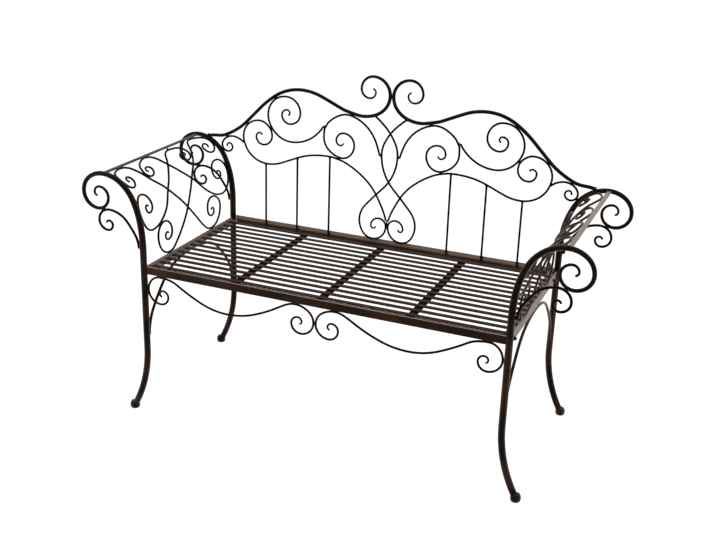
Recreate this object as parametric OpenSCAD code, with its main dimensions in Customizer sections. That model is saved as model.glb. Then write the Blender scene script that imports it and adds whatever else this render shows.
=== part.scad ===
// Two-seat garden bench of forged bar. Two end frames carry a slatted seat and
// a scrolled back, and the arms are woven from curled bars.
// X runs along the seat, Y from front to back, Z up, with the floor at Z = 0.

/* [Overall size] */
// Distance between the end frames, centre to centre of the legs
frame_span = 997; // [960:1:1040]
// Distance from front legs to rear legs, centre to centre
leg_depth = 484; // [470:1:500]
// Height of the seat rim's top edge
seat_h = 432; // [410:1:450]
// Rise from the seat rim to where the two top rails touch
back_rise = 418; // [400:1:440]
// Rise from the seat rim to the crown of the arm scrolls
arm_rise = 238; // [230:1:246]
// How far the woven arm bows out between the seat and its rail
arm_bow = 18; // [10:1:20]

/* [Bar stock] */
// Diameter of the legs, which taper through the arm scrolls
leg_d = 18; // [17:0.5:19]
// Diameter of the top rails of the back
rail_d = 10; // [9:0.5:11]
// Diameter of the curled bars
scroll_d = 6; // [5.5:0.1:6.2]
// Diameter of the spindles in the back
spindle_d = 6; // [5:0.5:7]
// Diameter of the arches under the arms
arch_d = 8; // [7:0.5:9]
// Diameter of the brace scrolls under the arm scrolls
brace_d = 7; // [6:0.5:8]
// Diameter at the tip of a tapered scroll
tip_d = 6; // [5:0.5:6]

/* [Flat stock] */
// Width of the slats and arm rails
slat_w = 12; // [10:1:14]
// Thickness of the slats, ledges and arm rails
flat_t = 3; // [2.5:0.5:3.5]
// Number of slats
slat_count = 14; // [12:1:15]
// Width of the ledges and of the flats across under the slats
ledge_w = 22; // [20:1:24]
// Height of the rims
rim_h = 20; // [19:1:21]
// Thickness of the rims
rim_t = 4; // [3:0.5:4.5]
// How far the slats lie below the top of the rim
slat_drop = 8; // [7:0.5:9]

/* [Feet and bolts] */
// Diameter of a foot cap
foot_d = 27; // [26:1:30]
// Height of a foot cap
foot_h = 22; // [21:1:25]
// Diameter of the bolts that hold the seat
bolt_d = 5; // [4:0.5:5.5]

/* [Fits] */
// Gap left where two round bars are welded side by side
weld_gap = 0.2; // [0.1:0.05:0.3]
// Clearance all round a bar in a notch or socket
fit_gap = 0.15; // [0.1:0.05:0.3]

/* [Hidden] */
SIDES = [[-1, "left"], [1, "right"]];
ENDS = [[-1, "front"], [1, "rear"]];

$fn = 32;
IRON = [0.13, 0.10, 0.09];
IRON_LIGHT = [0.24, 0.20, 0.18];
leg_x = frame_span/2;
leg_y = leg_depth/2;
leg_r = leg_d/2;
rail_r = rail_d/2;
scroll_r = scroll_d/2;
spindle_r = spindle_d/2;
arch_r = arch_d/2;
brace_r = brace_d/2;
slat_top = seat_h - slat_drop;
ledge_top = slat_top - flat_t;
rim_step = 3.5;
side_rim_top = seat_h - rim_step;
side_rim_bottom = side_rim_top - rim_h;
rim_bottom = seat_h - rim_h - 1;
collar_lip = 0.06;
collar_w = 1;
joint_cut = 0.15;

// A point of a route is [x, y, heading]. Positive shifts go to the left of the heading.
function dir(h) = [cos(h), sin(h)];
function beside(n, shift) = [n.x - shift*sin(n.z), n.y + shift*cos(n.z), n.z];
function turned(n) = [n.x, n.y, n.z + 180];
function last(list) = list[len(list) - 1];
function reversed(list) = [for (i = [len(list) - 1:-1:0]) list[i]];
function unit(v) = v/norm(v);

// A stretch is [radius, sweep], with a positive radius for a left turn, or [0, length]
function arc_to(p, way, q) =
    let (v = q - p, half = atan2(cross(way, v), way*v))
    abs(half) < 0.15 ? [0, norm(v)] : [norm(v)/(2*sin(half)), 2*abs(half)];

// Two tangent arcs that join point a to point b
function biarc(a, b) =
    let (
        p = [a.x, a.y], q = [b.x, b.y], s = dir(a.z), e = dir(b.z), v = q - p,
        k = 2*(1 - s*e),
        reach = k < 1e-9 ? v*v/(4*(v*s)) : (sqrt((v*(s + e))^2 + k*(v*v)) - v*(s + e))/k,
        mid = (p + q + reach*(s - e))/2,
        back = arc_to(q, -e, mid))
    [arc_to(p, s, mid), [-back[0], back[1]]];
function stretches(nodes) = [for (i = [0:len(nodes) - 2]) each biarc(nodes[i], nodes[i + 1])];

// Quarter turns of the given radii, to the left for side = 1 and to the right for side = -1
function curl(radii, side) = [for (r = radii) [side*r, 90]];

function advance(n, g, part = 1) =
    g[0] == 0
        ? [n.x + part*g[1]*cos(n.z), n.y + part*g[1]*sin(n.z), n.z]
        : let (h = n.z + sign(g[0])*g[1]*part)
          [n.x + g[0]*(sin(h) - sin(n.z)), n.y - g[0]*(cos(h) - cos(n.z)), h];
function walk(n, list, i = 0) =
    i >= len(list) ? [n] : concat([n], walk(advance(n, list[i]), list, i + 1));
function stretch_length(g) = g[0] == 0 ? g[1] : abs(g[0])*g[1]*PI/180;

// Points along a route, no further apart than the pitch or 24 degrees of turn
function trace(n, list, pitch) =
    let (stops = walk(n, list))
    concat(
        [for (i = [0:len(list) - 1])
            let (g = list[i], count = ceil(max(stretch_length(g)/pitch, g[0] == 0 ? 1 : g[1]/24)))
            for (k = [0:count - 1]) advance(stops[i], g, k/count)],
        [last(stops)]);

// The shape of a curled bar is [nodes, curl before them, its side, curl after them, its side]
function bar_start(shape) = turned(last(walk(turned(shape[0][0]), curl(shape[1], shape[2]))));
function bar_list(shape) =
    concat([for (g = reversed(curl(shape[1], shape[2]))) [-g[0], g[1]]], stretches(shape[0]),
        curl(shape[3], shape[4]));

// Round bar along a route in the drawing plane. Its stretches meet inside hair-thin collars.
module collar(at, d) {
    translate([at.x, at.y, 0]) rotate([0, 0, at.z]) rotate([0, 90, 0])
        cylinder(d = d + 2*collar_lip, h = collar_w, center = true);
}
module bar(start, list, d) {
    stops = walk(start, list);
    for (i = [0:len(list) - 1]) {
        g = list[i];
        cut = joint_cut/stretch_length(g);
        from = i == 0 ? 0 : cut;
        part = (i == len(list) - 1 ? 1 : 1 - cut) - from;
        at = advance(stops[i], g, from);
        if (g[0] == 0)
            translate([at.x, at.y, 0]) rotate([0, 0, at.z]) rotate([0, 90, 0]) cylinder(d = d, h = g[1]*part);
        else
            translate([at.x - g[0]*sin(at.z), at.y + g[0]*cos(at.z), 0])
                rotate([0, 0, g[0] > 0 ? at.z - 90 : at.z + 90 - g[1]*part])
                    rotate_extrude(angle = g[1]*part) translate([abs(g[0]), 0]) circle(d = d);
        if (i > 0) collar(stops[i], d);
    }
}
module curled_bar(shape, d) {
    bar(bar_start(shape), bar_list(shape), d);
}

// Rings round a path in space. Each ring starts at the side that ups points to.
module sweep(path, ups, radii, sides) {
    n = len(path);
    points = [for (i = [0:n - 1])
        let (
            t = unit(path[min(i + 1, n - 1)] - path[max(i - 1, 0)]),
            u = unit(ups[i] - (ups[i]*t)*t),
            w = cross(t, u))
        for (k = [0:sides - 1]) path[i] + radii[i]*(cos(360*k/sides)*u + sin(360*k/sides)*w)];
    walls = [for (i = [0:n - 2], k = [0:sides - 1])
        let (a = i*sides + k, b = i*sides + (k + 1)%sides)
        each [[a, a + sides, b + sides], [a, b + sides, b]]];
    caps = [[for (k = [0:sides - 1]) k], [for (k = [sides - 1:-1:0]) (n - 1)*sides + k]];
    polyhedron(points = points, faces = concat(walls, caps), convexity = 8);
}

module side_of(s) {
    if (s < 0) mirror([1, 0, 0]) children();
    else children();
}
// Stands a drawing up, facing front, at depth y
module upright(y) {
    translate([0, y, 0]) rotate([90, 0, 0]) children();
}

// Length along a list of stretches, and the point at a given length
function total_length(list, i = 0) = i >= len(list) ? 0 : stretch_length(list[i]) + total_length(list, i + 1);
function at_length(n, list, s, i = 0) =
    let (here = stretch_length(list[i]))
    s <= here || i == len(list) - 1
        ? advance(n, list[i], s/here)
        : at_length(advance(n, list[i]), list, s - here, i + 1);

// Cuts the end of a bar that starts at node n of another bar, flush with the left side of that bar
mitre_w = 40;
module mitre(n, r) {
    translate([n.x, n.y, 0]) rotate([0, 0, n.z]) translate([-mitre_w/2, r + weld_gap - mitre_w, -mitre_w/2])
        cube(mitre_w);
}

// Leg and arm scroll, drawn from the floor up
arm_k = arm_rise/238;
foot_lean = 27;
foot_pin = 18;
foot_end = [leg_x + 49, 8, 90 + foot_lean];
ankle = advance(foot_end, [0, foot_pin]);
knee = [leg_x, seat_h - 237, 90];
arm_start = [leg_x, seat_h + 53*arm_k, 90];
arm_shoulder = [leg_x + 24.3, seat_h + 176.7*arm_k, 65];
arm_crown = [leg_x + 114.5, seat_h + arm_rise, 0];
arm_outer = [leg_x + 176.5, seat_h + arm_rise - 55, -90];
arm_curl = [42, 34, 26, 16, 9];
arm_list = concat(stretches([arm_start, arm_shoulder, arm_crown, arm_outer]), curl(arm_curl, -1));
arm_length = total_length(arm_list);
crown_length = total_length(stretches([arm_start, arm_shoulder, arm_crown]));
function arm_r(at) = (leg_d - (leg_d - tip_d)*pow(at/arm_length, 1.15))/2;
arm_rings = 44;

module leg(s, e) {
    way = [for (i = [0:arm_rings]) joint_cut + i*(arm_length - joint_cut)/arm_rings];
    color(IRON) side_of(s) upright(e*leg_y) {
        bar(foot_end, concat([[0, foot_pin]], stretches([ankle, knee, arm_start])), leg_d);
        collar(arm_start, leg_d);
        sweep([for (at = way) let (n = at_length(arm_start, arm_list, at)) [n.x, n.y, 0]],
            [for (at = way) [0, 0, 1]], [for (at = way) arm_r(at)], 12);
    }
}

module foot(s, e) {
    edge = 6;
    color(IRON) side_of(s) translate([foot_end.x, e*leg_y, 0]) difference() {
        rotate_extrude() {
            square([foot_d/2 - edge, foot_h]);
            translate([0, edge]) square([foot_d/2, foot_h - 2*edge]);
            for (z = [edge, foot_h - edge]) translate([foot_d/2 - edge, z])
                intersection() { circle(edge); translate([-edge, -edge]) square(2*edge); }
        }
        translate([0, 0, foot_end.y]) rotate([0, -foot_lean, 0]) translate([0, 0, -fit_gap])
            cylinder(d = leg_d + 2*fit_gap, h = foot_h + leg_d);
    }
}

// Flat rail along the crowns of the arm scrolls
module arm_rail(s) {
    half = leg_y - arm_r(crown_length) - weld_gap;
    color(IRON_LIGHT) side_of(s) translate([arm_crown.x - slat_w/2, -half, arm_crown.y - flat_t/2])
        cube([slat_w, 2*half, flat_t]);
}

// Scroll that braces the leg against the underside of its arm scroll
brace_touch_turn = 26;
brace_under = at_length(arm_start, arm_list,
    crown_length + total_length(stretches([arm_crown, arm_outer])) + total_length(curl([arm_curl[0]], 1))
    + arm_curl[1]*brace_touch_turn*PI/180);
brace_under_r = arm_r(arm_length - total_length(curl([for (i = [1:len(arm_curl) - 1]) arm_curl[i]], 1))
    + arm_curl[1]*brace_touch_turn*PI/180);
brace = [[[leg_x + leg_r + brace_r + weld_gap, arm_start.y - 6, 90],
    [leg_x + 46.5, seat_h + 117*arm_k, 50], [leg_x + 98.5, brace_under.y - 3, 2],
    turned(beside(brace_under, brace_under_r + brace_r + weld_gap)),
    [leg_x + 132.5, brace_under.y - 35, -90]], [], 0, [25.5, 16, 11, 7.5], -1];
module brace_scroll(s, e) {
    color(IRON) side_of(s) upright(e*leg_y) curled_bar(brace, brace_d);
}

// Side rim between the legs, with the arch under it
frame_half = leg_y - leg_r - weld_gap;
bolt_inset = 37;
bolt_y = leg_y - bolt_inset;
bolt_z = ledge_top - flat_t - 5;
module bolt_spots() {
    for (y = [-bolt_y, bolt_y]) translate([leg_x, y, bolt_z]) rotate([0, 90, 0]) children();
}
module bolt_holes() {
    bolt_spots() cylinder(d = bolt_d + 2*fit_gap, h = 30, center = true);
}
module side_rim(s) {
    color(IRON_LIGHT) side_of(s) difference() {
        translate([leg_x - rim_t/2, -frame_half, side_rim_bottom]) cube([rim_t, 2*frame_half, rim_h]);
        bolt_holes();
    }
}
arch_drop = 205;
arch_half = [[-(frame_half - arch_r), seat_h - arch_drop, 90], [-150, seat_h - 74, 42],
    [0, side_rim_bottom - arch_r - weld_gap, 0]];
module side_arch(s) {
    other = reversed([for (n = arch_half) if (n.x < 0) [-n.x, n.y, -n.z]]);
    color(IRON) side_of(s) translate([leg_x, 0, 0]) rotate([90, 0, 90])
        bar(arch_half[0], stretches(concat(arch_half, other)), arch_d);
}

// Woven arm: bars drawn in depth and height along the leg's curve, then laid on the bowed face
weave_start = [leg_x, seat_h - 2, 90];
weave_list = concat([[0, arm_start.y - weave_start.y]], stretches([arm_start, arm_shoulder, arm_crown]));
weave_length = total_length(weave_list);
weave_ky = leg_depth/484;
weave_ks = weave_length/297;
weave_low = side_rim_top + scroll_r + weld_gap - weave_start.y;
weave_high = weave_length - slat_w/2 - scroll_r - weld_gap;
function weave_side(s) = leg_y - arm_r(max(0, s - arm_start.y + weave_start.y)) - weld_gap - scroll_r;
function on_weave(n) = [n.x*weave_ky, n.y*weave_ks, n.z];
low_weave = [[on_weave([127, 92, 0]), on_weave([166, 56, -90]), [114*weave_ky, weave_low, 180],
    on_weave([49, 38, 134]), on_weave([-5, 98, 129.5]), on_weave([-74, 176.5, 130]),
    on_weave([-121, 234.5, 122]), [-175*weave_ky, weave_high, 180], [-weave_side(248*weave_ks), 248*weave_ks, -90],
    on_weave([-205, 214, 0])], [32, 22, 13, 9, 6], 1, [22, 14, 10, 6], 1];
high_weave = [[on_weave([196, 188, 0]), [weave_side(146*weave_ks), 146*weave_ks, -90], on_weave([185, 86.5, 180]),
    on_weave([99, 125, 138]), on_weave([48, 178, 135.5]), on_weave([7, 226.5, 129]),
    [-60*weave_ky, weave_high, 180], on_weave([-116, 247, -90])],
    [34, 21, 13.5, 9, 6], 1, [21, 19, 14, 9, 6], 1];
weave_cross_from = 105;
weave_cross_to = 65;
function lap(y) =
    let (c = max(0, min(1, (weave_cross_from - abs(y))/(weave_cross_from - weave_cross_to))))
    (scroll_r + weld_gap/2)*c*c*(3 - 2*c);
function face_bow(y, s) = arm_bow*(1 - (y/leg_y)^2)*sin(180*(min(s, weave_length)/weave_length)^2);

module woven_bar(s, e, shape) {
    points = trace(bar_start(shape), bar_list(shape), 13);
    face = [for (p = points) at_length(weave_start, weave_list, p.y)];
    out = [for (f = face) [sin(f.z), 0, -cos(f.z)]];
    color(IRON) side_of(s) sweep(
        [for (i = [0:len(points) - 1])
            [face[i].x, e*points[i].x, face[i].y] + out[i]*(face_bow(points[i].x, points[i].y)
                - e*lap(points[i].x))],
        out, [for (p = points) scroll_r], 6);
}

// Back panel: points are [across from the middle, up from the seat rim, heading]
back_kx = leg_x/498.5;
back_kz = back_rise/418;
function on_back(n) =
    [n.x*back_kx, seat_h + n.y*back_kz, atan2(back_kz*sin(n.z), back_kx*cos(n.z))];
half_gap = weld_gap/2;
rail_side = rail_r + half_gap;
bar_side = scroll_r + half_gap;

// Spots where two bars of the back touch, with the heading of the first bar there
rail_meets_wave = on_back([446.7, 290.1, 135]);
rail_meets_swag = on_back([355.5, 375, 145]);
rail_meets_inner = on_back([117.5, 353.3, 194]);
rail_meets_corner = on_back([514, 244.4, 155.5]);
rail_meets_lens = on_back([46.3, 361, 158]);
wave_starts_corner = on_back([456.8, 232, 72.6]);
wave_meets_inner = on_back([153, 222.6, 12.5]);
swag_meets_wave = on_back([369, 284, 56]);
swag_meets_inner = on_back([199.9, 310, -60]);
wave_crosses_lens = on_back([36.5, 132.5, 59]);
lens_cross_heading = -47;
lens_cross_high = on_back([0, 313, -126]);
lens_cross_low = on_back([0, 174, -56]);
lens_bulge = on_back([-23.4, 257, -93]);

rail_root_at = 0.86*crown_length;
rail_root = at_length(arm_start, arm_list, rail_root_at);
top_rail_nodes = [[rail_root.x, rail_root.y, 166],
    beside(rail_meets_corner, -rail_side), beside(rail_meets_wave, -rail_side),
    beside(rail_meets_swag, -rail_side), on_back([270, 406.5, 181]), on_back([150, 368, 204]),
    beside(rail_meets_inner, -rail_side), on_back([80, 353.5, 177]), rail_meets_lens,
    [rail_side, seat_h + back_rise, 90]];
top_curl = [49, 36, 25, 17.5, 9.5];
top_rings = 24;
module top_rail(s) {
    list = curl(top_curl, -1);
    total = total_length(list);
    way = [for (i = [0:top_rings]) joint_cut + i*(total - joint_cut)/top_rings];
    color(IRON) side_of(s) upright(leg_y) {
        difference() {
            bar(top_rail_nodes[0], stretches(top_rail_nodes), rail_d);
            mitre(rail_root, arm_r(rail_root_at));
        }
        collar(last(top_rail_nodes), rail_d);
        sweep([for (at = way) let (n = at_length(last(top_rail_nodes), list, at)) [n.x, n.y, 0]],
            [for (at = way) [0, 0, 1]], [for (at = way) rail_r - (rail_r - 2.5)*at/total], 10);
    }
}

spindle_x = [386, 284, 181.5];
spindle_tops = [on_back([386, 177, 3]), on_back([284, 207.3, -23]), on_back([181.5, 224.6, 2])];
wave = [[[bar_side, seat_h + 58.5*back_kz, 75], wave_crosses_lens, on_back([109, 200.5, 30]),
    beside(wave_meets_inner, -bar_side), spindle_tops[2], spindle_tops[1], spindle_tops[0],
    on_back([452.3, 220.7, 65]), on_back([459.8, 251, 90]), beside(rail_meets_wave, bar_side),
    on_back([407.6, 303.2, 180]), beside(turned(swag_meets_wave), bar_side), on_back([366.2, 261.8, -90])],
    [], 0, [29, 22.5, 12, 7], 1];
swag = [[beside(swag_meets_inner, bar_side), on_back([300.4, 251.8, -2]), beside(swag_meets_wave, bar_side),
    on_back([379, 324, 90]), beside(rail_meets_swag, bar_side), on_back([320.7, 382.3, 180])],
    [], 0, [44.5, 34, 24.5, 16, 9, 6], 1];
inner = [[beside(on_back([23.4, 248, 76]), -2*bar_side - weld_gap), on_back([59, 312.2, 51]),
    beside(turned(rail_meets_inner), -bar_side), on_back([187, 324.6, -45]),
    beside(swag_meets_inner, -bar_side), on_back([201.5, 283, -87]),
    beside(turned(wave_meets_inner), -bar_side), on_back([107.5, 265, 90])],
    [], 0, [32.5, 23, 13.5, 8], -1];
corner_low = 0.63*crown_length;
corner = [[[wave_starts_corner.x, wave_starts_corner.y, 41], beside(turned(rail_meets_corner), -bar_side),
    turned(beside(at_length(arm_start, arm_list, corner_low), arm_r(corner_low) + scroll_r + weld_gap))],
    [], 0, [18, 13, 9, 6.5], -1];
lens = [[[rail_meets_lens.x, rail_meets_lens.y, -142], lens_cross_high, lens_bulge, lens_cross_low,
    [wave_crosses_lens.x, wave_crosses_lens.y, lens_cross_heading], on_back([85, 53, -90]),
    on_back([43, 0, 180]), [bar_side, seat_h + 41*back_kz, 90]],
    [], 0, [22.5, 23.4, 8, 7], -1];

// Half of the thickness cut away where another bar crosses, on the front for face = 1
module half_lap(at, heading, face) {
    wide = scroll_d + 4*fit_gap;
    translate([at.x, at.y, face*(scroll_r - fit_gap/2)]) rotate([0, 0, heading])
        cube([3.5*scroll_d, wide, scroll_d], center = true);
}
module wave_scroll(s) {
    color(IRON) side_of(s) upright(leg_y) difference() {
        curled_bar(wave, scroll_d);
        half_lap(wave_crosses_lens, lens_cross_heading, -s);
    }
}
module lens_scroll(s) {
    color(IRON) side_of(s) upright(leg_y) difference() {
        curled_bar(lens, scroll_d);
        half_lap(lens_cross_high, 180 - lens_cross_high.z, s);
        half_lap(lens_cross_low, 180 - lens_cross_low.z, -s);
        half_lap(wave_crosses_lens, wave_crosses_lens.z, s);
        mitre(rail_meets_lens, rail_r);
    }
}
module swag_scroll(s) {
    color(IRON) side_of(s) upright(leg_y) curled_bar(swag, scroll_d);
}
module inner_scroll(s) {
    color(IRON) side_of(s) upright(leg_y) curled_bar(inner, scroll_d);
}
module corner_scroll(s) {
    color(IRON) side_of(s) upright(leg_y) difference() {
        curled_bar(corner, scroll_d);
        mitre(turned(wave_starts_corner), scroll_r);
    }
}

// Spindles stand in front of the rear rim and end under the wave
spindle_drop = 19;
spindle_foot = seat_h - spindle_drop;
module spindle(s, i) {
    top = spindle_tops[i - 1];
    high = top.y - (scroll_r + weld_gap)/cos(top.z) - spindle_r*abs(tan(top.z));
    color(IRON) side_of(s) translate([top.x, leg_y, spindle_foot]) cylinder(d = spindle_d, h = high - spindle_foot);
}

rear_rim_front = max(scroll_r, spindle_r) + weld_gap;
module rear_rim() {
    half = leg_x - sqrt(leg_r^2 - rear_rim_front^2) - weld_gap;
    color(IRON_LIGHT) translate([-half, leg_y + rear_rim_front, seat_h - rim_h - 2])
        cube([2*half, rim_t, rim_h + 2]);
}
module front_rim() {
    half = leg_x - leg_r - weld_gap;
    color(IRON) translate([-half, -leg_y - rim_t/2, rim_bottom]) cube([2*half, rim_t, seat_h - rim_bottom]);
}

// Apron scrolls hang under the front rim
apron_top = rim_bottom - scroll_r - weld_gap;
function on_apron(n) = [n.x*back_kx, seat_h + n.y, n.z];
apron = [[[leg_x - leg_r - scroll_r - weld_gap, seat_h - 64, 90], [450*back_kx, apron_top, 180],
    on_apron([398, -36.8, 212]), on_apron([250, -90.5, 180]), on_apron([101.7, -42.3, 149]),
    [54*back_kx, apron_top, 180], [bar_side, seat_h - 66.5, -90]],
    [36.5, 23.5, 15.5, 10, 7], -1, [35.5, 26, 18, 11, 6.5], 1];
module apron_scroll(s) {
    color(IRON) side_of(s) upright(-leg_y) curled_bar(apron, scroll_d);
}

// Seat panel: ledges all round, flats across, slats on top
ledge_out = leg_x - rim_t/2 - weld_gap;
ledge_in = ledge_out - ledge_w;
slat_span = 2*(frame_half - ledge_w) - slat_w + 1;
cross_x = 241*back_kx;
lug_w = 20;
lug_drop = 9;
slat_end = 6;
module seat_ledge_side(s) {
    color(IRON_LIGHT) side_of(s) difference() {
        union() {
            translate([ledge_in, -frame_half, ledge_top - flat_t]) cube([ledge_w, 2*frame_half, flat_t]);
            for (y = [-bolt_y, bolt_y]) translate([ledge_out - flat_t, y - lug_w/2, bolt_z - lug_drop])
                cube([flat_t, lug_w, ledge_top - bolt_z + lug_drop]);
        }
        bolt_holes();
    }
}
module seat_ledge_end(e) {
    y = e > 0 ? frame_half - ledge_w : -frame_half;
    color(IRON_LIGHT) translate([-ledge_in, y, ledge_top - flat_t]) cube([2*ledge_in, ledge_w, flat_t]);
}
module cross_flat(i) {
    half = frame_half - ledge_w;
    color(IRON_LIGHT) translate([(i - 2)*cross_x - ledge_w/2, -half, ledge_top - flat_t])
        cube([ledge_w, 2*half, flat_t]);
}
module seat_slats() {
    half = ledge_out - slat_end;
    color(IRON_LIGHT) for (i = [0:slat_count - 1])
        translate([-half, -slat_span/2 + i*slat_span/(slat_count - 1) - slat_w/2, ledge_top])
            cube([2*half, slat_w, flat_t]);
}

// Bolts with domed heads go through the side rim and the lug, into a nut
head_r = 4.8;
nut_w = 8;
nut_t = 4;
module seat_bolts() {
    color(IRON) for (s = [-1, 1]) side_of(s) bolt_spots() {
        translate([0, 0, rim_t/2]) {
            cylinder(r = head_r, h = 2);
            translate([0, 0, 2]) intersection() {
                sphere(r = head_r);
                cylinder(r = 2*head_r, h = head_r);
            }
        }
        translate([0, 0, -rim_t/2 - weld_gap - flat_t - nut_t - 1])
            cylinder(d = bolt_d, h = rim_t + weld_gap + flat_t + nut_t + 1);
    }
}
module seat_nuts() {
    color(IRON) for (s = [-1, 1]) side_of(s) bolt_spots()
        translate([0, 0, -rim_t/2 - weld_gap - flat_t - nut_t]) difference() {
            cylinder(d = nut_w/cos(30), h = nut_t, $fn = 6);
            translate([0, 0, -1]) cylinder(d = bolt_d + 2*fit_gap, h = nut_t + 2);
        }
}

for (s = SIDES, e = ENDS) {
    tag = str(e[1], "_", s[1]);
    leg(s[0], e[0]);
    foot(s[0], e[0]);
    brace_scroll(s[0], e[0]);
    woven_bar(s[0], e[0], low_weave);
    woven_bar(s[0], e[0], high_weave);
}
for (s = SIDES) {
    arm_rail(s[0]);
    side_rim(s[0]);
    side_arch(s[0]);
    seat_ledge_side(s[0]);
    top_rail(s[0]);
    wave_scroll(s[0]);
    swag_scroll(s[0]);
    inner_scroll(s[0]);
    corner_scroll(s[0]);
    lens_scroll(s[0]);
    apron_scroll(s[0]);
    for (i = [1:3]) spindle(s[0], i);
}
for (e = ENDS) seat_ledge_end(e[0]);
for (i = [1:3]) cross_flat(i);
front_rim();
rear_rim();
seat_slats();
seat_bolts();
seat_nuts();
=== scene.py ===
import cmath
import math

import bmesh
import bpy
from bpy.props import FloatProperty, FloatVectorProperty, IntProperty, PointerProperty
from mathutils import Matrix, Vector


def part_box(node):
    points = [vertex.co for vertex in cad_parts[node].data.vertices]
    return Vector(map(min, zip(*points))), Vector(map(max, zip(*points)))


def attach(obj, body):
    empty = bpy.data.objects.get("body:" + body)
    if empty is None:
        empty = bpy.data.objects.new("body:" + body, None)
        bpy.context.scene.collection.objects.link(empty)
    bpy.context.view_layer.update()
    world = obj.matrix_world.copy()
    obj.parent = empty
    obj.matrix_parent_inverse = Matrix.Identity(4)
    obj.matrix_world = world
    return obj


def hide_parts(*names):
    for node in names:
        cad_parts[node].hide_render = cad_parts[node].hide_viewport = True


bl_info = {
    "name": "Scrolled Garden Bench",
    "version": (1, 0, 0),
    "blender": (4, 5, 0),
    "location": "View3D > Sidebar > Bench",
    "description": "Bends the bars of a forged garden bench, lays its slats and paints it",
    "category": "Add Mesh",
}

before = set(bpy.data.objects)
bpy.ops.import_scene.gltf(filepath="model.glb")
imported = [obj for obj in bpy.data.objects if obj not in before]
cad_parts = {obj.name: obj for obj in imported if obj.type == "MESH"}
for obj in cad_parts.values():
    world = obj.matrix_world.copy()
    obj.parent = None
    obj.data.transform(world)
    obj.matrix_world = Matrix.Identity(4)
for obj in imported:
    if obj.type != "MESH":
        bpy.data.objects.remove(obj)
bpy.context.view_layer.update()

# Drawings are in millimetres. X runs along the seat, Y to the back, Z up from the floor.
MM = 0.001
LEG_X = 498.5
LEG_Y = 242.0
SEAT = 432.0
SIDE_RIM_TOP = 428.5
SIDE_RIM_BOTTOM = 408.5
FRONT_RIM_BOTTOM = 411.0
WELD_GAP = 0.2
SIDES = ((-1, "left"), (1, "right"))
ENDS = ((-1, "front"), (1, "rear"))
CORNERS = [(side, end, f"{end_name}_{side_name}")
           for side, side_name in SIDES for end, end_name in ENDS]


class BenchSizes(bpy.types.PropertyGroup):
    """Sizes of the bar, flats and welds of the bench"""

    leg_bar: FloatProperty(
        name="Leg bar", description="Diameter of the legs below the arm scrolls",
        default=0.018, min=0.008, max=0.03, unit="LENGTH", precision=4)
    rail_bar: FloatProperty(
        name="Top rail bar", description="Diameter of the top rails of the back",
        default=0.010, min=0.004, max=0.02, unit="LENGTH", precision=4)
    scroll_bar: FloatProperty(
        name="Scroll bar", description="Diameter of the curled bars",
        default=0.006, min=0.003, max=0.012, unit="LENGTH", precision=4)
    spindle_bar: FloatProperty(
        name="Spindle bar", description="Diameter of the spindles in the back",
        default=0.006, min=0.003, max=0.012, unit="LENGTH", precision=4)
    arch_bar: FloatProperty(
        name="Arch bar", description="Diameter of the arches under the arms",
        default=0.008, min=0.004, max=0.014, unit="LENGTH", precision=4)
    brace_bar: FloatProperty(
        name="Brace bar", description="Diameter of the brace scrolls under the arm scrolls",
        default=0.007, min=0.004, max=0.014, unit="LENGTH", precision=4)
    tip_bar: FloatProperty(
        name="Scroll tip", description="Diameter at the tip of an arm scroll",
        default=0.006, min=0.003, max=0.012, unit="LENGTH", precision=4)
    arm_bow: FloatProperty(
        name="Arm bow", description="How far the woven arm bows out between the seat and its rail",
        default=0.018, min=0.0, max=0.03, unit="LENGTH", precision=4)
    slat_count: IntProperty(
        name="Slats", description="Number of slats in the seat", default=14, min=2, max=30)
    arm_flat: FloatProperty(
        name="Arm rail width", description="Width of the flat rail on an arm",
        default=0.012, min=0.004, max=0.03, unit="LENGTH", precision=4)
    slat_width: FloatProperty(
        name="Slat width", description="Width of one painted slat of the seat",
        default=0.0135, min=0.004, max=0.03, unit="LENGTH", precision=4)
    eased_edge: FloatProperty(
        name="Eased edge", description="Radius of the edges of slats, ledges and rims",
        default=0.0006, min=0.0001, max=0.0014, unit="LENGTH", precision=5)
    weld_length: FloatProperty(
        name="Weld length", description="Length of a weld bead",
        default=0.009, min=0.002, max=0.02, unit="LENGTH", precision=4)
    weld_width: FloatProperty(
        name="Weld width", description="Width of a weld bead",
        default=0.0042, min=0.001, max=0.01, unit="LENGTH", precision=4)


class BenchPaint(bpy.types.PropertyGroup):
    """Colours and sheen of the bench's paint"""

    dark: FloatVectorProperty(
        name="Paint", description="Main colour of the powder coat",
        default=(0.0050, 0.0026, 0.0016), min=0.0, max=1.0, subtype="COLOR", size=3)
    # Warm patches lie at random; where a paint fades them above the seat, their full strength below it
    # is painted light thrown up from the floor
    warm: FloatVectorProperty(
        name="Warm patches", description="Colour where the coat is thinner and browner",
        default=(0.040, 0.0180, 0.0100), min=0.0, max=1.0, subtype="COLOR", size=3)
    # Painted top light: a pale colour laid on upward faces in place of the light that falls on them
    top_light_colour: FloatVectorProperty(
        name="Painted top light", description="Colour of faces that look up to the sky",
        default=(0.175, 0.135, 0.112), min=0.0, max=1.0, subtype="COLOR", size=3)
    glint: FloatVectorProperty(
        name="Glint", description="Colour of the paint's reflection where it is seen head on",
        default=(0.11, 0.064, 0.042), min=0.0, max=1.0, subtype="COLOR", size=3)
    foot: FloatVectorProperty(
        name="Foot caps", description="Colour of the moulded foot caps",
        default=(0.009, 0.008, 0.008), min=0.0, max=1.0, subtype="COLOR", size=3)
    sheen: FloatProperty(
        name="Reflection", description="How strongly the paint reflects, where 0.5 is plain plastic",
        default=0.42, min=0.0, max=1.0, subtype="FACTOR")
    rough: FloatProperty(
        name="Roughness", description="Middle of the paint's roughness",
        default=0.32, min=0.05, max=1.0, subtype="FACTOR")
    grain: FloatProperty(
        name="Grain depth", description="Depth of the fine orange peel of the powder coat",
        default=0.00016, min=0.0, max=0.001, unit="LENGTH", precision=5)


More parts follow.
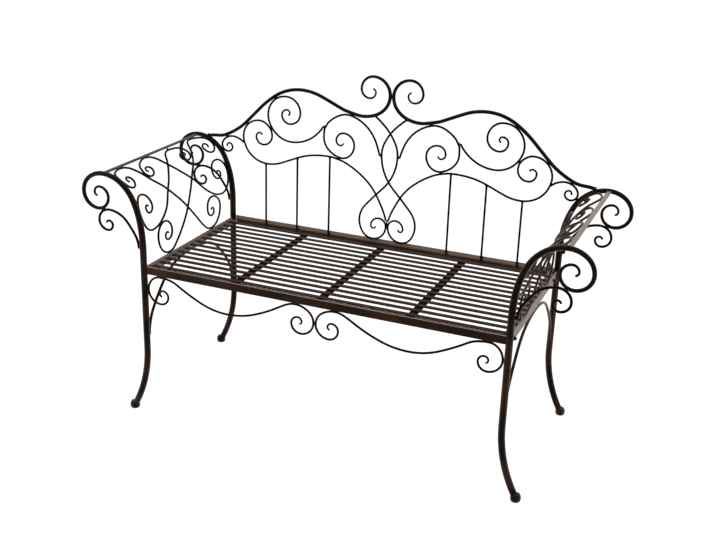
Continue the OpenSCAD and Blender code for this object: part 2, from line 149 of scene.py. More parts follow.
class BenchStudio(bpy.types.PropertyGroup):
    """Light and floor of the studio"""

    key_power: FloatProperty(
        name="Key light", description="Power of the large soft light above the front",
        default=42.0, min=0.0, max=500.0, unit="POWER")
    fill_power: FloatProperty(
        name="Fill light", description="Power of the soft light beside the bench",
        default=44.0, min=0.0, max=500.0, unit="POWER")
    sky: FloatProperty(
        name="Room light", description="Strength of the even light from all round",
        default=0.45, min=0.0, max=2.0)
    floor_tone: FloatProperty(
        name="Floor tone", description="Paleness of the floor", default=0.80, min=0.0, max=1.0,
        subtype="FACTOR")


# A spot on a drawing is a point, as a complex number in metres, and a heading in degrees.
# A stretch of bar is (radius, sweep in degrees), left turns positive, or (0, length).
# A drawing of a bar is its start spot with its stretches.
def spot(across, up, heading):
    """A spot given in millimetres"""
    return complex(across, up) * MM, heading


def back_spot(across, up, heading):
    """A spot on the back, given from the middle and from the seat rim"""
    return spot(across, SEAT + up, heading)


def toward(heading):
    """A step of length 1 along a heading"""
    return cmath.rect(1.0, math.radians(heading))


def beside(at, shift):
    """The same heading, shifted to the left by a length in metres"""
    return at[0] + 1j * shift * toward(at[1]), at[1]


def turned(at):
    """The same point with the opposite heading"""
    return at[0], at[1] + 180.0


# An arc that turns by less than twice this many degrees is drawn straight
STRAIGHT_ENOUGH = 0.15


def stretch_to(start, way, end):
    """The straight or arc that leaves start along way and arrives at end"""
    reach = end - start
    half = math.degrees(cmath.phase(reach / way))
    if abs(half) < STRAIGHT_ENOUGH:
        return 0.0, abs(reach)
    return abs(reach) / (2 * math.sin(math.radians(half))), 2 * abs(half)


def two_arcs(first, second):
    """Two tangent arcs that join two spots"""
    leave = toward(first[1])
    arrive = toward(second[1])
    gap = second[0] - first[0]
    spread = 2 * (1 - (leave.conjugate() * arrive).real)
    if spread < 1e-9:
        reach = abs(gap) ** 2 / (4 * (gap.conjugate() * leave).real)
    else:
        along = (gap.conjugate() * (leave + arrive)).real
        reach = (math.sqrt(along ** 2 + spread * abs(gap) ** 2) - along) / spread
    middle = (first[0] + second[0] + reach * (leave - arrive)) / 2
    radius, size = stretch_to(second[0], -arrive, middle)
    return [stretch_to(first[0], leave, middle), (-radius, size)]


def through(*spots):
    """The stretches of a bar through a row of spots"""
    return [part for pair in zip(spots, spots[1:]) for part in two_arcs(*pair)]


def curl(radii, side):
    """Quarter turns of the given radii in millimetres, to the left for side 1"""
    return [(side * radius * MM, 90.0) for radius in radii]


def advance(at, stretch, part=1.0):
    """The spot at a share of one stretch"""
    point, heading = at
    radius, size = stretch
    if radius == 0:
        return point + part * size * toward(heading), heading
    end = heading + math.copysign(size * part, radius)
    return point + 1j * radius * (toward(heading) - toward(end)), end


def walk(at, stretches):
    """The spot at the end of a list of stretches"""
    for stretch in stretches:
        at = advance(at, stretch)
    return at


def length_of(*stretches):
    """The length of the stretches together"""
    return sum(size if radius == 0 else abs(radius) * math.radians(size) for radius, size in stretches)


def spot_at(at, stretches, distance):
    """The spot at a distance along a list of stretches"""
    for stretch in stretches[:-1]:
        here = length_of(stretch)
        if distance <= here:
            return advance(at, stretch, distance / here)
        distance -= here
        at = advance(at, stretch)
    return advance(at, stretches[-1], distance / length_of(stretches[-1]))


def curled(spots, before=(), before_side=1, after=(), after_side=1):
    """The drawing of a bar that curls up before its first spot and after its last"""
    lead = curl(before, before_side)
    start = turned(walk(turned(spots[0]), lead))
    unrolled = [(-radius, size) for radius, size in reversed(lead)]
    return start, unrolled + through(*spots) + curl(after, after_side)


# Ways in which the end of a bar is finished
ROUND = "round"
FLARED = "flared"
DOME_TURNS = (12, 32, 52, 72, 90)
DOME_DEPTH = 0.8
FLARE_LENGTH = 0.0045
FLARE_SHARES = (0, 0.15, 0.35, 0.6, 1)
FLARE_SWELL = 0.42
RING_MARGIN = 0.0006


def end_marks(kind, radius):
    """Distances from a bar's end, each with the share of the full radius there"""
    if kind == FLARED:
        return [(share * FLARE_LENGTH, 1 + FLARE_SWELL * (1 - share) ** 2) for share in FLARE_SHARES]
    turns = [math.radians(turn) for turn in DOME_TURNS]
    return [(DOME_DEPTH * radius * (1 - math.cos(turn)), math.sin(turn)) for turn in turns]


def rings(stretches, radius_at, first=ROUND, last=ROUND, pitch=0.006, turn=8.0):
    """Distances and radii of the rings along a bar, closer together where it curls tightly"""
    total = length_of(*stretches)
    head = [(at, radius_at(at) * share) for at, share in end_marks(first, radius_at(0))]
    tail = [(total - at, radius_at(total - at) * share)
            for at, share in end_marks(last, radius_at(total))]
    marks = []
    passed = 0.0
    for radius, size in stretches:
        here = length_of((radius, size))
        count = math.ceil(max(here / pitch, size / turn if radius else 1))
        marks += [passed + here * step / count for step in range(count)]
        passed += here
    low = head[-1][0] + RING_MARGIN
    high = tail[-1][0] - RING_MARGIN
    inner = [(at, radius_at(at)) for at in marks if low < at < high]
    return head + inner + tail[::-1]


def facing_front(side, depth):
    """Lays a drawing upright across the bench, mirrored for the left side"""
    return lambda point: Vector((side * point.real, depth * MM, point.imag))


# The leg and arm scroll, from the floor up to the tip of the scroll
FOOT_LEAN = 27
FOOT_END = spot(LEG_X + 49, 8, 90 + FOOT_LEAN)
FOOT_STUB = 0.0, 18 * MM
ANKLE = advance(FOOT_END, FOOT_STUB)
KNEE = spot(LEG_X, SEAT - 237, 90)
ARM_START = spot(LEG_X, SEAT + 53, 90)
ARM_SHOULDER = spot(LEG_X + 24.3, SEAT + 176.7, 65)
ARM_CROWN = spot(LEG_X + 114.5, SEAT + 238, 0)
ARM_OUTER = spot(LEG_X + 176.5, SEAT + 183, -90)
ARM_RISE = through(ARM_START, ARM_SHOULDER, ARM_CROWN)
ARM_FALL = through(ARM_CROWN, ARM_OUTER)
ARM_CURL = (42, 34, 26, 16, 9)
ARM_SCROLL = ARM_RISE + ARM_FALL + curl(ARM_CURL, -1)
ARM_LENGTH = length_of(*ARM_SCROLL)
CROWN_LENGTH = length_of(*ARM_RISE)
BRACE_TOUCH = length_of(*ARM_RISE, *ARM_FALL, *curl(ARM_CURL[:1], -1), (ARM_CURL[1] * MM, 26.0))
TAPER_POWER = 1.15
RAIL_ROOT = 0.86 * CROWN_LENGTH
CORNER_TOUCH = 0.63 * CROWN_LENGTH


def arm_radius(sizes, at):
    """Radius of the arm scroll, which tapers to its tip"""
    share = max(0.0, min(1.0, at / ARM_LENGTH))
    return (sizes.leg_bar - (sizes.leg_bar - sizes.tip_bar) * share ** TAPER_POWER) / 2


def leg_drawing(sizes):
    """Drawing of a leg with its arm scroll, and its rings"""
    below = [FOOT_STUB] + through(ANKLE, KNEE, ARM_START)
    shank = length_of(*below)
    stretches = below + ARM_SCROLL
    return (FOOT_END, stretches), rings(stretches, lambda at: arm_radius(sizes, at - shank), turn=7.0)


def brace_drawing(sizes):
    """Drawing of the scroll between a leg and the underside of its arm scroll"""
    half = sizes.brace_bar / 2
    under = spot_at(ARM_START, ARM_SCROLL, BRACE_TOUCH)
    under_half = arm_radius(sizes, BRACE_TOUCH)
    low = under[0].imag / MM
    return curled(
        [spot(LEG_X + (sizes.leg_bar / 2 + half) / MM + WELD_GAP, SEAT + 47, 90),
         spot(LEG_X + 46.5, SEAT + 117, 50), spot(LEG_X + 98.5, low - 3, 2),
         turned(beside(under, under_half + half + WELD_GAP * MM)),
         spot(LEG_X + 132.5, low - 35, -90)],
        after=(25.5, 16, 11, 7.5), after_side=-1)


# Spots where two bars of the back touch
RAIL_MEETS_WAVE = back_spot(446.7, 290.1, 135)
RAIL_MEETS_SWAG = back_spot(355.5, 375, 145)
RAIL_MEETS_INNER = back_spot(117.5, 353.3, 194)
RAIL_MEETS_CORNER = back_spot(514, 244.4, 155.5)
RAIL_MEETS_LENS = back_spot(46.3, 361, 158)
WAVE_STARTS_CORNER = back_spot(456.8, 232, 72.6)
WAVE_MEETS_INNER = back_spot(153, 222.6, 12.5)
SWAG_MEETS_WAVE = back_spot(369, 284, 56)
SWAG_MEETS_INNER = back_spot(199.9, 310, -60)
WAVE_CROSSES_LENS = back_spot(36.5, 132.5, 59)
LENS_CROSS_HIGH = back_spot(0, 313, -126)
LENS_CROSS_LOW = back_spot(0, 174, -56)
SPINDLE_TOPS = (back_spot(386, 177, 3), back_spot(284, 207.3, -23), back_spot(181.5, 224.6, 2))
SPINDLE_FOOT = SEAT - 19
TOP_CURL = (49, 36, 25, 17.5, 9.5)
TOP_CURL_TIP = 2.5 * MM
# The share of a bar's radius at which the flared end of another bar starts that is welded to it
REACH_IN = 0.85
RAIL_REACH_IN = 0.92
SPINDLE_REACH_IN = 0.8


def top_rail_drawing(sizes):
    """Drawing of a top rail, and its length before the curl"""
    shift = -sizes.rail_bar / 2 - WELD_GAP * MM / 2
    root = spot_at(ARM_START, ARM_SCROLL, RAIL_ROOT)
    start = root[0] + arm_radius(sizes, RAIL_ROOT) * RAIL_REACH_IN * 1j * toward(root[1]), 166
    row = (start, beside(RAIL_MEETS_CORNER, shift), beside(RAIL_MEETS_WAVE, shift),
           beside(RAIL_MEETS_SWAG, shift), back_spot(270, 406.5, 181), back_spot(150, 368, 204),
           beside(RAIL_MEETS_INNER, shift), back_spot(80, 353.5, 177), RAIL_MEETS_LENS,
           spot(-shift / MM, SEAT + 418, 90))
    rail = through(*row)
    return (start, rail + curl(TOP_CURL, -1)), length_of(*rail)


def back_drawings(sizes):
    """Drawing of each curled bar of the right half of the back, and how its first end is finished"""
    side = sizes.scroll_bar / 2 + WELD_GAP * MM / 2
    rail = sizes.rail_bar / 2
    middle = side / MM
    crossing = (WAVE_CROSSES_LENS[0], -47.0)
    touch = spot_at(ARM_START, ARM_SCROLL, CORNER_TOUCH)
    touch_half = arm_radius(sizes, CORNER_TOUCH)
    wave = curled(
        [spot(middle, SEAT + 58.5, 75), WAVE_CROSSES_LENS, back_spot(109, 200.5, 30),
         beside(WAVE_MEETS_INNER, -side), SPINDLE_TOPS[2], SPINDLE_TOPS[1], SPINDLE_TOPS[0],
         back_spot(452.3, 220.7, 65), back_spot(459.8, 251, 90), beside(RAIL_MEETS_WAVE, side),
         back_spot(407.6, 303.2, 180), beside(turned(SWAG_MEETS_WAVE), side),
         back_spot(366.2, 261.8, -90)], after=(29, 22.5, 12, 7), after_side=1)
    swag = curled(
        [beside(SWAG_MEETS_INNER, side), back_spot(300.4, 251.8, -2), beside(SWAG_MEETS_WAVE, side),
         back_spot(379, 324, 90), beside(RAIL_MEETS_SWAG, side), back_spot(320.7, 382.3, 180)],
        after=(44.5, 34, 24.5, 16, 9, 6), after_side=1)
    inner = curled(
        [beside(back_spot(23.4, 248, 76), -2 * side - WELD_GAP * MM), back_spot(59, 312.2, 51),
         beside(turned(RAIL_MEETS_INNER), -side), back_spot(187, 324.6, -45),
         beside(SWAG_MEETS_INNER, -side), back_spot(201.5, 283, -87),
         beside(turned(WAVE_MEETS_INNER), -side), back_spot(107.5, 265, 90)],
        after=(32.5, 23, 13.5, 8), after_side=-1)
    corner = curled(
        [(WAVE_STARTS_CORNER[0] + REACH_IN * sizes.scroll_bar / 2 * toward(-17), 41),
         beside(turned(RAIL_MEETS_CORNER), -side),
         turned(beside(touch, touch_half + sizes.scroll_bar / 2 + WELD_GAP * MM))],
        after=(18, 13, 9, 6.5), after_side=-1)
    lens = curled(
        [(RAIL_MEETS_LENS[0] + REACH_IN * rail * toward(-110), -142), LENS_CROSS_HIGH,
         back_spot(-23.4, 257, -93), LENS_CROSS_LOW, crossing, back_spot(85, 53, -90),
         back_spot(43, 0, 180), spot(middle, SEAT + 41, 90)],
        after=(22.5, 23.4, 8, 7), after_side=-1)
    return {"wave": (wave, ROUND), "swag": (swag, ROUND), "inner": (inner, ROUND),
            "corner": (corner, FLARED), "lens": (lens, FLARED)}


# Where the apron touches the leg, the front rim at two places, and its other half
APRON_AT_LEG = SEAT - 64
APRON_AT_RIM = (450, 54)
APRON_AT_MIDDLE = SEAT - 66.5


def apron_drawing(sizes):
    """Drawing of the right half of the apron under the front rim"""
    half = sizes.scroll_bar / 2 / MM
    outer, inner = (spot(across, FRONT_RIM_BOTTOM - half - WELD_GAP, 180) for across in APRON_AT_RIM)
    leg_side = LEG_X - sizes.leg_bar / 2 / MM - half - WELD_GAP
    return curled(
        [spot(leg_side, APRON_AT_LEG, 90), outer, spot(398, SEAT - 36.8, 212),
         spot(250, SEAT - 90.5, 180), spot(101.7, SEAT - 42.3, 149), inner,
         spot(half + WELD_GAP / 2, APRON_AT_MIDDLE, -90)],
        before=(36.5, 23.5, 15.5, 10, 7), before_side=-1, after=(35.5, 26, 18, 11, 6.5), after_side=1)


# The woven arm is drawn in depth and height along the leg, then laid on the bowed face
WEAVE_START = spot(LEG_X, SEAT - 2, 90)
WEAVE_LEAD = 55 * MM
WEAVE_RUN = [(0.0, WEAVE_LEAD)] + ARM_RISE
WEAVE_LENGTH = length_of(*WEAVE_RUN)
WEAVE_DRAWN = 297 * MM
WEAVE_STRETCH = WEAVE_LENGTH / WEAVE_DRAWN
# Heights at which the lower and the higher bar touch a leg, from the weave's and the arm's start
LOW_TOUCH = 248 * MM * WEAVE_STRETCH
HIGH_TOUCH = 146 * MM * WEAVE_STRETCH
LOW_TOUCH_ON_ARM = 0.2
HIGH_TOUCH_ON_ARM = 0.09
# Depths at which the two bars touch the side rim and the arm rail
LOW_AT_RIM = 114 * MM
LOW_AT_RAIL = -175 * MM
HIGH_AT_RAIL = -60 * MM
# Depths between which a bar moves aside, to pass over or under another
LAP_FROM = 105 * MM
LAP_TO = 65 * MM


def weave_spot(depth, up, heading):
    """A spot on the woven arm, with its height stretched to the length of the leg there"""
    return complex(depth * MM, up * MM * WEAVE_STRETCH), heading


def beside_leg(sizes, up):
    """Depth at which a weave bar touches the leg, up in metres along it"""
    leg = arm_radius(sizes, max(0.0, up - WEAVE_LEAD))
    return LEG_Y * MM - leg - WELD_GAP * MM - sizes.scroll_bar / 2


def weave_drawings(sizes):
    """Drawings of the lower and the higher bar that start at each corner of an arm"""
    half = sizes.scroll_bar / 2
    low = SIDE_RIM_TOP * MM + half + WELD_GAP * MM - WEAVE_START[0].imag
    high = WEAVE_LENGTH - sizes.arm_flat / 2 - half - WELD_GAP * MM
    low_bar = curled(
        [weave_spot(127, 92, 0), weave_spot(166, 56, -90), (complex(LOW_AT_RIM, low), 180),
         weave_spot(49, 38, 134), weave_spot(-5, 98, 129.5), weave_spot(-74, 176.5, 130),
         weave_spot(-121, 234.5, 122), (complex(LOW_AT_RAIL, high), 180),
         (complex(-beside_leg(sizes, LOW_TOUCH), LOW_TOUCH), -90), weave_spot(-205, 214, 0)],
        before=(32, 22, 13, 9, 6), before_side=1, after=(22, 14, 10, 6), after_side=1)
    high_bar = curled(
        [weave_spot(196, 188, 0), (complex(beside_leg(sizes, HIGH_TOUCH), HIGH_TOUCH), -90),
         weave_spot(185, 86.5, 180), weave_spot(99, 125, 138), weave_spot(48, 178, 135.5),
         weave_spot(7, 226.5, 129), (complex(HIGH_AT_RAIL, high), 180), weave_spot(-116, 247, -90)],
        before=(34, 21, 13.5, 9, 6), before_side=1, after=(21, 19, 14, 9, 6), after_side=1)
    return {"low": low_bar, "high": high_bar}


def lap(sizes, depth):
    """How far a weave bar stands off the face, so that it passes over or under the other"""
    share = max(0.0, min(1.0, (LAP_FROM - abs(depth)) / (LAP_FROM - LAP_TO)))
    return (sizes.scroll_bar / 2 + WELD_GAP * MM / 2) * share * share * (3 - 2 * share)


def weave_face(sizes, side, depth, up):
    """A point of the bowed arm face and the direction that it faces"""
    at = spot_at(WEAVE_START, WEAVE_RUN, up)
    heading = math.radians(at[1])
    out = Vector((side * math.sin(heading), 0.0, -math.cos(heading)))
    rise = min(up, WEAVE_LENGTH) / WEAVE_LENGTH
    bow = sizes.arm_bow * (1 - (depth / (LEG_Y * MM)) ** 2) * math.sin(math.pi * rise ** 2)
    return Vector((side * at[0].real, depth, at[0].imag)) + bow * out, out


def on_weave(sizes, side, end):
    """Lays a weave drawing on the arm of one side, from the front or rear leg"""
    def place(point):
        face, out = weave_face(sizes, side, point.real, point.imag)
        face.y *= end
        return face - end * lap(sizes, point.real) * out
    return place


# Half an arch under a side rim, from a front leg to the middle, drawn in depth and height
LEG_HALF = 9
ARCH_BAR_HALF = 4
ARCH_HALF = (spot(-(LEG_Y - LEG_HALF - WELD_GAP - ARCH_BAR_HALF), SEAT - 205, 90),
             spot(-150, SEAT - 74, 42), spot(0, SIDE_RIM_BOTTOM - ARCH_BAR_HALF - WELD_GAP, 0))
ARCH_OTHER = tuple((complex(-at[0].real, at[0].imag), -at[1]) for at in ARCH_HALF[1::-1])
# The bolts through the side rims, and the lugs of the side ledges that they hold
BOLT_Y = LEG_Y - 37
BOLT_Z = 413.0
LUG_THICK = 3
LUG_HALF_WIDTH = 10
# Facets across an eased edge
EDGE_FACETS = 3


def new_tree(name, **inputs):
    """A Geometry Nodes tree with inputs of the named kinds, the sockets it is given and its end node"""
    tree = bpy.data.node_groups.new(name, "GeometryNodeTree")
    tree.is_modifier = True
    tree.interface.new_socket("Geometry", in_out="OUTPUT", socket_type="NodeSocketGeometry")
    for label, kind in {"Geometry": "Geometry", **inputs}.items():
        tree.interface.new_socket(label, in_out="INPUT", socket_type=f"NodeSocket{kind}")
    return tree, tree.nodes.new("NodeGroupInput").outputs, tree.nodes.new("NodeGroupOutput")


def add_node(tree, kind, values=None, **settings):
    """A node with its settings, where each value is a plain value or a socket to link"""
    node = tree.nodes.new(kind)
    for name, value in settings.items():
        setattr(node, name, value)
    for name, value in (values or {}).items():
        if isinstance(value, bpy.types.NodeSocket):
            tree.links.new(value, node.inputs[name])
        else:
            node.inputs[name].default_value = value
    return node


def maths(tree, operation, first, second):
    """The result of one step of arithmetic on two values or sockets"""
    return add_node(tree, "ShaderNodeMath", {0: first, 1: second}, operation=operation).outputs[0]


def vector(tree, **parts):
    """A vector from its X, Y and Z, of which those left out are 0"""
    return add_node(tree, "ShaderNodeCombineXYZ", parts).outputs[0]


def part_of(tree, whole, axis):
    """The X, Y or Z of a vector"""
    return add_node(tree, "ShaderNodeSeparateXYZ", {"Vector": whole}).outputs[axis]


def attribute(tree, name, kind="FLOAT_VECTOR"):
    """What each point carries under a name"""
    named = add_node(tree, "GeometryNodeInputNamedAttribute", {"Name": name}, data_type=kind)
    return named.outputs["Attribute"]


def end_tree(tree, geometry, paint, result):
    """Ends a tree with Realize Instances and Set Material"""
    solid = add_node(tree, "GeometryNodeRealizeInstances", {"Geometry": geometry})
    painted = add_node(tree, "GeometryNodeSetMaterial",
                       {"Geometry": solid.outputs["Geometry"], "Material": paint})
    tree.links.new(painted.outputs["Geometry"], result.inputs["Geometry"])
    return tree


def round_bar_tree():
    """Runs a round section along each line of the mesh, as wide as its bar_radius"""
    tree, given, result = new_tree("Round bar", Sides="Int", Paint="Material")
    line = add_node(tree, "GeometryNodeMeshToCurve", {"Mesh": given["Geometry"]})
    section = add_node(tree, "GeometryNodeCurvePrimitiveCircle",
                       {"Resolution": given["Sides"], "Radius": 1.0})
    bar = add_node(tree, "GeometryNodeCurveToMesh",
                   {"Curve": line.outputs["Curve"], "Profile Curve": section.outputs["Curve"],
                    "Scale": attribute(tree, "bar_radius", "FLOAT"), "Fill Caps": True})
    smooth = add_node(tree, "GeometryNodeSetShadeSmooth", {"Geometry": bar.outputs["Mesh"]})
    return end_tree(tree, smooth.outputs["Geometry"], given["Paint"], result)


def slat_tree():
    """Lays flat slats side by side across a span"""
    tree, given, result = new_tree(
        "Seat slats", Count="Int", Span="Float", Length="Float", Width="Float", Thickness="Float",
        Edge="Float", Height="Float", Paint="Material")
    half_span = maths(tree, "MULTIPLY", given["Span"], 0.5)
    row = add_node(tree, "GeometryNodeMeshLine", {
        "Count": given["Count"],
        "Start Location": vector(tree, Y=maths(tree, "SUBTRACT", 0.0, half_span), Z=given["Height"]),
        "Offset": vector(tree, Y=half_span, Z=given["Height"])}, mode="END_POINTS")
    section = add_node(tree, "GeometryNodeCurvePrimitiveQuadrilateral",
                       {"Width": given["Width"], "Height": given["Thickness"]})
    eased = add_node(tree, "GeometryNodeFilletCurve",
                     {"Curve": section.outputs["Curve"], "Radius": given["Edge"],
                      "Count": EDGE_FACETS}, mode="POLY")
    half = maths(tree, "MULTIPLY", given["Length"], 0.5)
    line = add_node(tree, "GeometryNodeCurvePrimitiveLine", {
        "Start": vector(tree, X=maths(tree, "SUBTRACT", 0.0, half)), "End": vector(tree, X=half)})
    slat = add_node(tree, "GeometryNodeCurveToMesh",
                    {"Curve": line.outputs["Curve"], "Profile Curve": eased.outputs["Curve"],
                     "Fill Caps": True})
    slats = add_node(tree, "GeometryNodeInstanceOnPoints",
                     {"Points": row.outputs["Mesh"], "Instance": slat.outputs["Mesh"]})
    return end_tree(tree, slats.outputs["Instances"], given["Paint"], result)


def set_of_four_tree():
    """Sets the mesh, which faces right, at four corners, turned round on the left side"""
    tree, given, result = new_tree(
        "Set of four", Width="Float", Depth="Float", Height="Float", Paint="Material")
    corners = add_node(tree, "GeometryNodeMeshGrid",
                       {"Size X": given["Width"], "Size Y": given["Depth"],
                        "Vertices X": 2, "Vertices Y": 2})
    raised = add_node(tree, "GeometryNodeTransform",
                      {"Geometry": corners.outputs["Mesh"],
                       "Translation": vector(tree, Z=given["Height"])})
    place = add_node(tree, "GeometryNodeInputPosition").outputs[0]
    on_left = maths(tree, "LESS_THAN", part_of(tree, place, "X"), 0.0)
    half_turn = vector(tree, Z=maths(tree, "MULTIPLY", on_left, math.pi))
    turn = add_node(tree, "FunctionNodeEulerToRotation", {"Euler": half_turn})
    four = add_node(tree, "GeometryNodeInstanceOnPoints",
                    {"Points": raised.outputs["Geometry"], "Instance": given["Geometry"],
                     "Rotation": turn.outputs[0]})
    return end_tree(tree, four.outputs["Instances"], given["Paint"], result)


# The least and the most that a bead's length, width and height are multiplied by
BEAD_LEAST = (0.82, 0.85, 0.9)
BEAD_MOST = (1.2, 1.15, 1.1)
LUMP_SCALE = 420.0


def weld_bead_tree():
    """Sets a lumpy bead on each point, turned by bead_turn and sized by bead_size"""
    tree, given, result = new_tree("Weld beads", Lump="Float", Seed="Int", Paint="Material")
    ball = add_node(tree, "GeometryNodeMeshIcoSphere", {"Radius": 1.0, "Subdivisions": 2})
    turn = add_node(tree, "FunctionNodeEulerToRotation", {"Euler": attribute(tree, "bead_turn")})
    vary = add_node(tree, "FunctionNodeRandomValue",
                    {0: BEAD_LEAST, 1: BEAD_MOST, "Seed": given["Seed"]}, data_type="FLOAT_VECTOR")
    scale = add_node(tree, "ShaderNodeVectorMath",
                     {0: attribute(tree, "bead_size"), 1: vary.outputs[0]}, operation="MULTIPLY")
    beads = add_node(tree, "GeometryNodeInstanceOnPoints",
                     {"Points": given["Geometry"], "Instance": ball.outputs["Mesh"],
                      "Rotation": turn.outputs[0], "Scale": scale.outputs[0]})
    solid = add_node(tree, "GeometryNodeRealizeInstances", {"Geometry": beads.outputs["Instances"]})
    lumps = add_node(tree, "ShaderNodeTexNoise", {"Scale": LUMP_SCALE, "Detail": 1.0}).outputs[0]
    amount = maths(tree, "MULTIPLY", maths(tree, "SUBTRACT", lumps, 0.5), given["Lump"])
    outward = add_node(tree, "GeometryNodeInputNormal").outputs[0]
    shift = add_node(tree, "ShaderNodeVectorMath", {0: outward, "Scale": amount}, operation="SCALE")
    lumpy = add_node(tree, "GeometryNodeSetPosition",
                     {"Geometry": solid.outputs["Geometry"], "Offset": shift.outputs[0]})
    smooth = add_node(tree, "GeometryNodeSetShadeSmooth", {"Geometry": lumpy.outputs["Geometry"]})
    return end_tree(tree, smooth.outputs["Geometry"], given["Paint"], result)


TREE_MAKERS = {"Round bar": round_bar_tree, "Seat slats": slat_tree,
               "Set of four": set_of_four_tree, "Weld beads": weld_bead_tree}


def settle(name, mesh, tree_name, values):
    """Runs a tree on a mesh and keeps the result as a plain piece"""
    piece = bpy.data.objects.new(name, mesh)
    bpy.context.scene.collection.objects.link(piece)
    modifier = piece.modifiers.new(tree_name, "NODES")
    modifier.node_group = bpy.data.node_groups.get(tree_name) or TREE_MAKERS[tree_name]()
    for item in modifier.node_group.interface.items_tree:
        if item.item_type == "SOCKET" and item.in_out == "INPUT" and item.name in values:
            modifier[item.identifier] = values[item.name]
    graph = bpy.context.evaluated_depsgraph_get()
    plain = bpy.data.meshes.new_from_object(piece.evaluated_get(graph), depsgraph=graph)
    piece.modifiers.remove(modifier)
    piece.data = plain
    plain.name = name
    bpy.data.meshes.remove(mesh)
    if not plain.polygons:
        raise RuntimeError(f"{name} came out empty")
    return piece


def dress(piece, slot, *nodes):
    """Ties a finished piece to the bench's frame"""
    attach(piece, "root")
    if nodes:
        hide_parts(*nodes)


def bend(node, slot, drawing, radii, place, sides, paint):
    """Bends the round bar of a node, where place lays a spot of its drawing in space"""
    mesh = bpy.data.meshes.new(node + "_line")
    mesh.from_pydata([place(spot_at(*drawing, at)[0]) for at, radius in radii],
                     [(step, step + 1) for step in range(len(radii) - 1)], [])
    widths = mesh.attributes.new("bar_radius", "FLOAT", "POINT")
    widths.data.foreach_set("value", [radius for at, radius in radii])
    dress(settle(node + "_bar", mesh, "Round bar", {"Sides": sides, "Paint": paint}), slot, node)


# The share of its radius that a curled bar keeps at its tip, and how far from the tip it thins
TIP_SHARE = 0.84
TIP_LENGTH = 0.07


def thinned(radius, distance):
    """Radius of a bar at a distance from an end that thins a little"""
    return radius * (1 - (1 - TIP_SHARE) * max(0.0, 1 - distance / TIP_LENGTH) ** 2)


def thinning(radius, stretches):
    """Radius along a curled bar that thins towards its last end"""
    total = length_of(*stretches)
    return lambda at: thinned(radius, total - at)


def thin_ends(radius, stretches):
    """Radius along a bar that curls up and thins at both ends"""
    last = thinning(radius, stretches)
    return lambda at: min(last(at), thinned(radius, at))


# The least part along an axis of the normal of a broad face
BROAD = 0.999


def ease_shading(mesh):
    """Keeps the broad faces of flat bars flat and their eased edges smooth"""
    mesh.update()
    for face in mesh.polygons:
        face.use_smooth = max(abs(part) for part in face.normal) < BROAD


def cut(node, slot, edge, paint, boxes=None, inward=None, inner_paint=None):
    """Cuts the flat bars of a node with eased edges

    The bars are given as boxes by their lowest and highest corners, and fill the node's own box
    otherwise. Broad faces that look inward can have a paint of their own.
    """
    shape = bmesh.new()
    for low, high in boxes or [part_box(node)]:
        size = Vector(high) - Vector(low)
        place = Matrix.Translation((Vector(low) + Vector(high)) / 2) @ Matrix.Diagonal((*size, 1.0))
        made = bmesh.ops.create_cube(shape, size=1.0, matrix=place)
        edges = list({line for vert in made["verts"] for line in vert.link_edges})
        bmesh.ops.bevel(shape, geom=edges, offset=edge, segments=EDGE_FACETS, profile=0.5,
                        affect="EDGES")
    mesh = bpy.data.meshes.new(node + "_flat")
    shape.to_mesh(mesh)
    shape.free()
    mesh.materials.append(paint)
    ease_shading(mesh)
    if inward:
        mesh.materials.append(inner_paint)
        for face in mesh.polygons:
            if face.normal.dot(Vector(inward)) > 0.9:
                face.material_index = 1
    piece = bpy.data.objects.new(node + "_flat", mesh)
    bpy.context.scene.collection.objects.link(piece)
    dress(piece, slot, node)


def lathe(name, profile, sides):
    """A turned shape about Z from (radius, height) in millimetres, closed at both poles"""
    shape = bmesh.new()
    rows = []
    for radius, height in profile:
        angles = [math.tau * step / sides for step in range(sides if radius else 1)]
        rows.append([shape.verts.new((radius * MM * math.cos(angle), radius * MM * math.sin(angle),
                                      height * MM)) for angle in angles])
    for low, high in zip(rows, rows[1:]):
        for step in range(sides):
            after = (step + 1) % sides
            ring = [low[step % len(low)], low[after % len(low)], high[after % len(high)],
                    high[step % len(high)]]
            shape.faces.new(list(dict.fromkeys(ring)))
    bmesh.ops.recalc_face_normals(shape, faces=shape.faces)
    mesh = bpy.data.meshes.new(name)
    shape.to_mesh(mesh)
    shape.free()
    mesh.shade_smooth()
    return mesh


def ramp(tree, value, low, high, to_low=0.0, to_high=1.0):
    """A value carried over from one range to another, and held at both ends"""
    return add_node(tree, "ShaderNodeMapRange", {
        "Value": value, "From Min": low, "From Max": high, "To Min": to_low,
        "To Max": to_high}).outputs[0]


def blend(tree, factor, first, second):
    """The blend of two colours or sockets"""
    return add_node(tree, "ShaderNodeMix", {"Factor": factor, 6: first, 7: second},
                    data_type="RGBA").outputs[2]


def noise(tree, place, scale, detail):
    """The height of an uneven texture"""
    return add_node(tree, "ShaderNodeTexNoise",
                    {"Vector": place, "Scale": scale, "Detail": detail}).outputs[0]


def opaque(colour, share=1.0):
    """A colour of three parts, darker or paler by a share, as a shader takes it"""
    return (*(share * part for part in colour), 1.0)


# Height over which the warm patches and the painted top light fade above the seat: painted shade above
# it, painted light from the floor below it
FADE_HEIGHT = 0.15


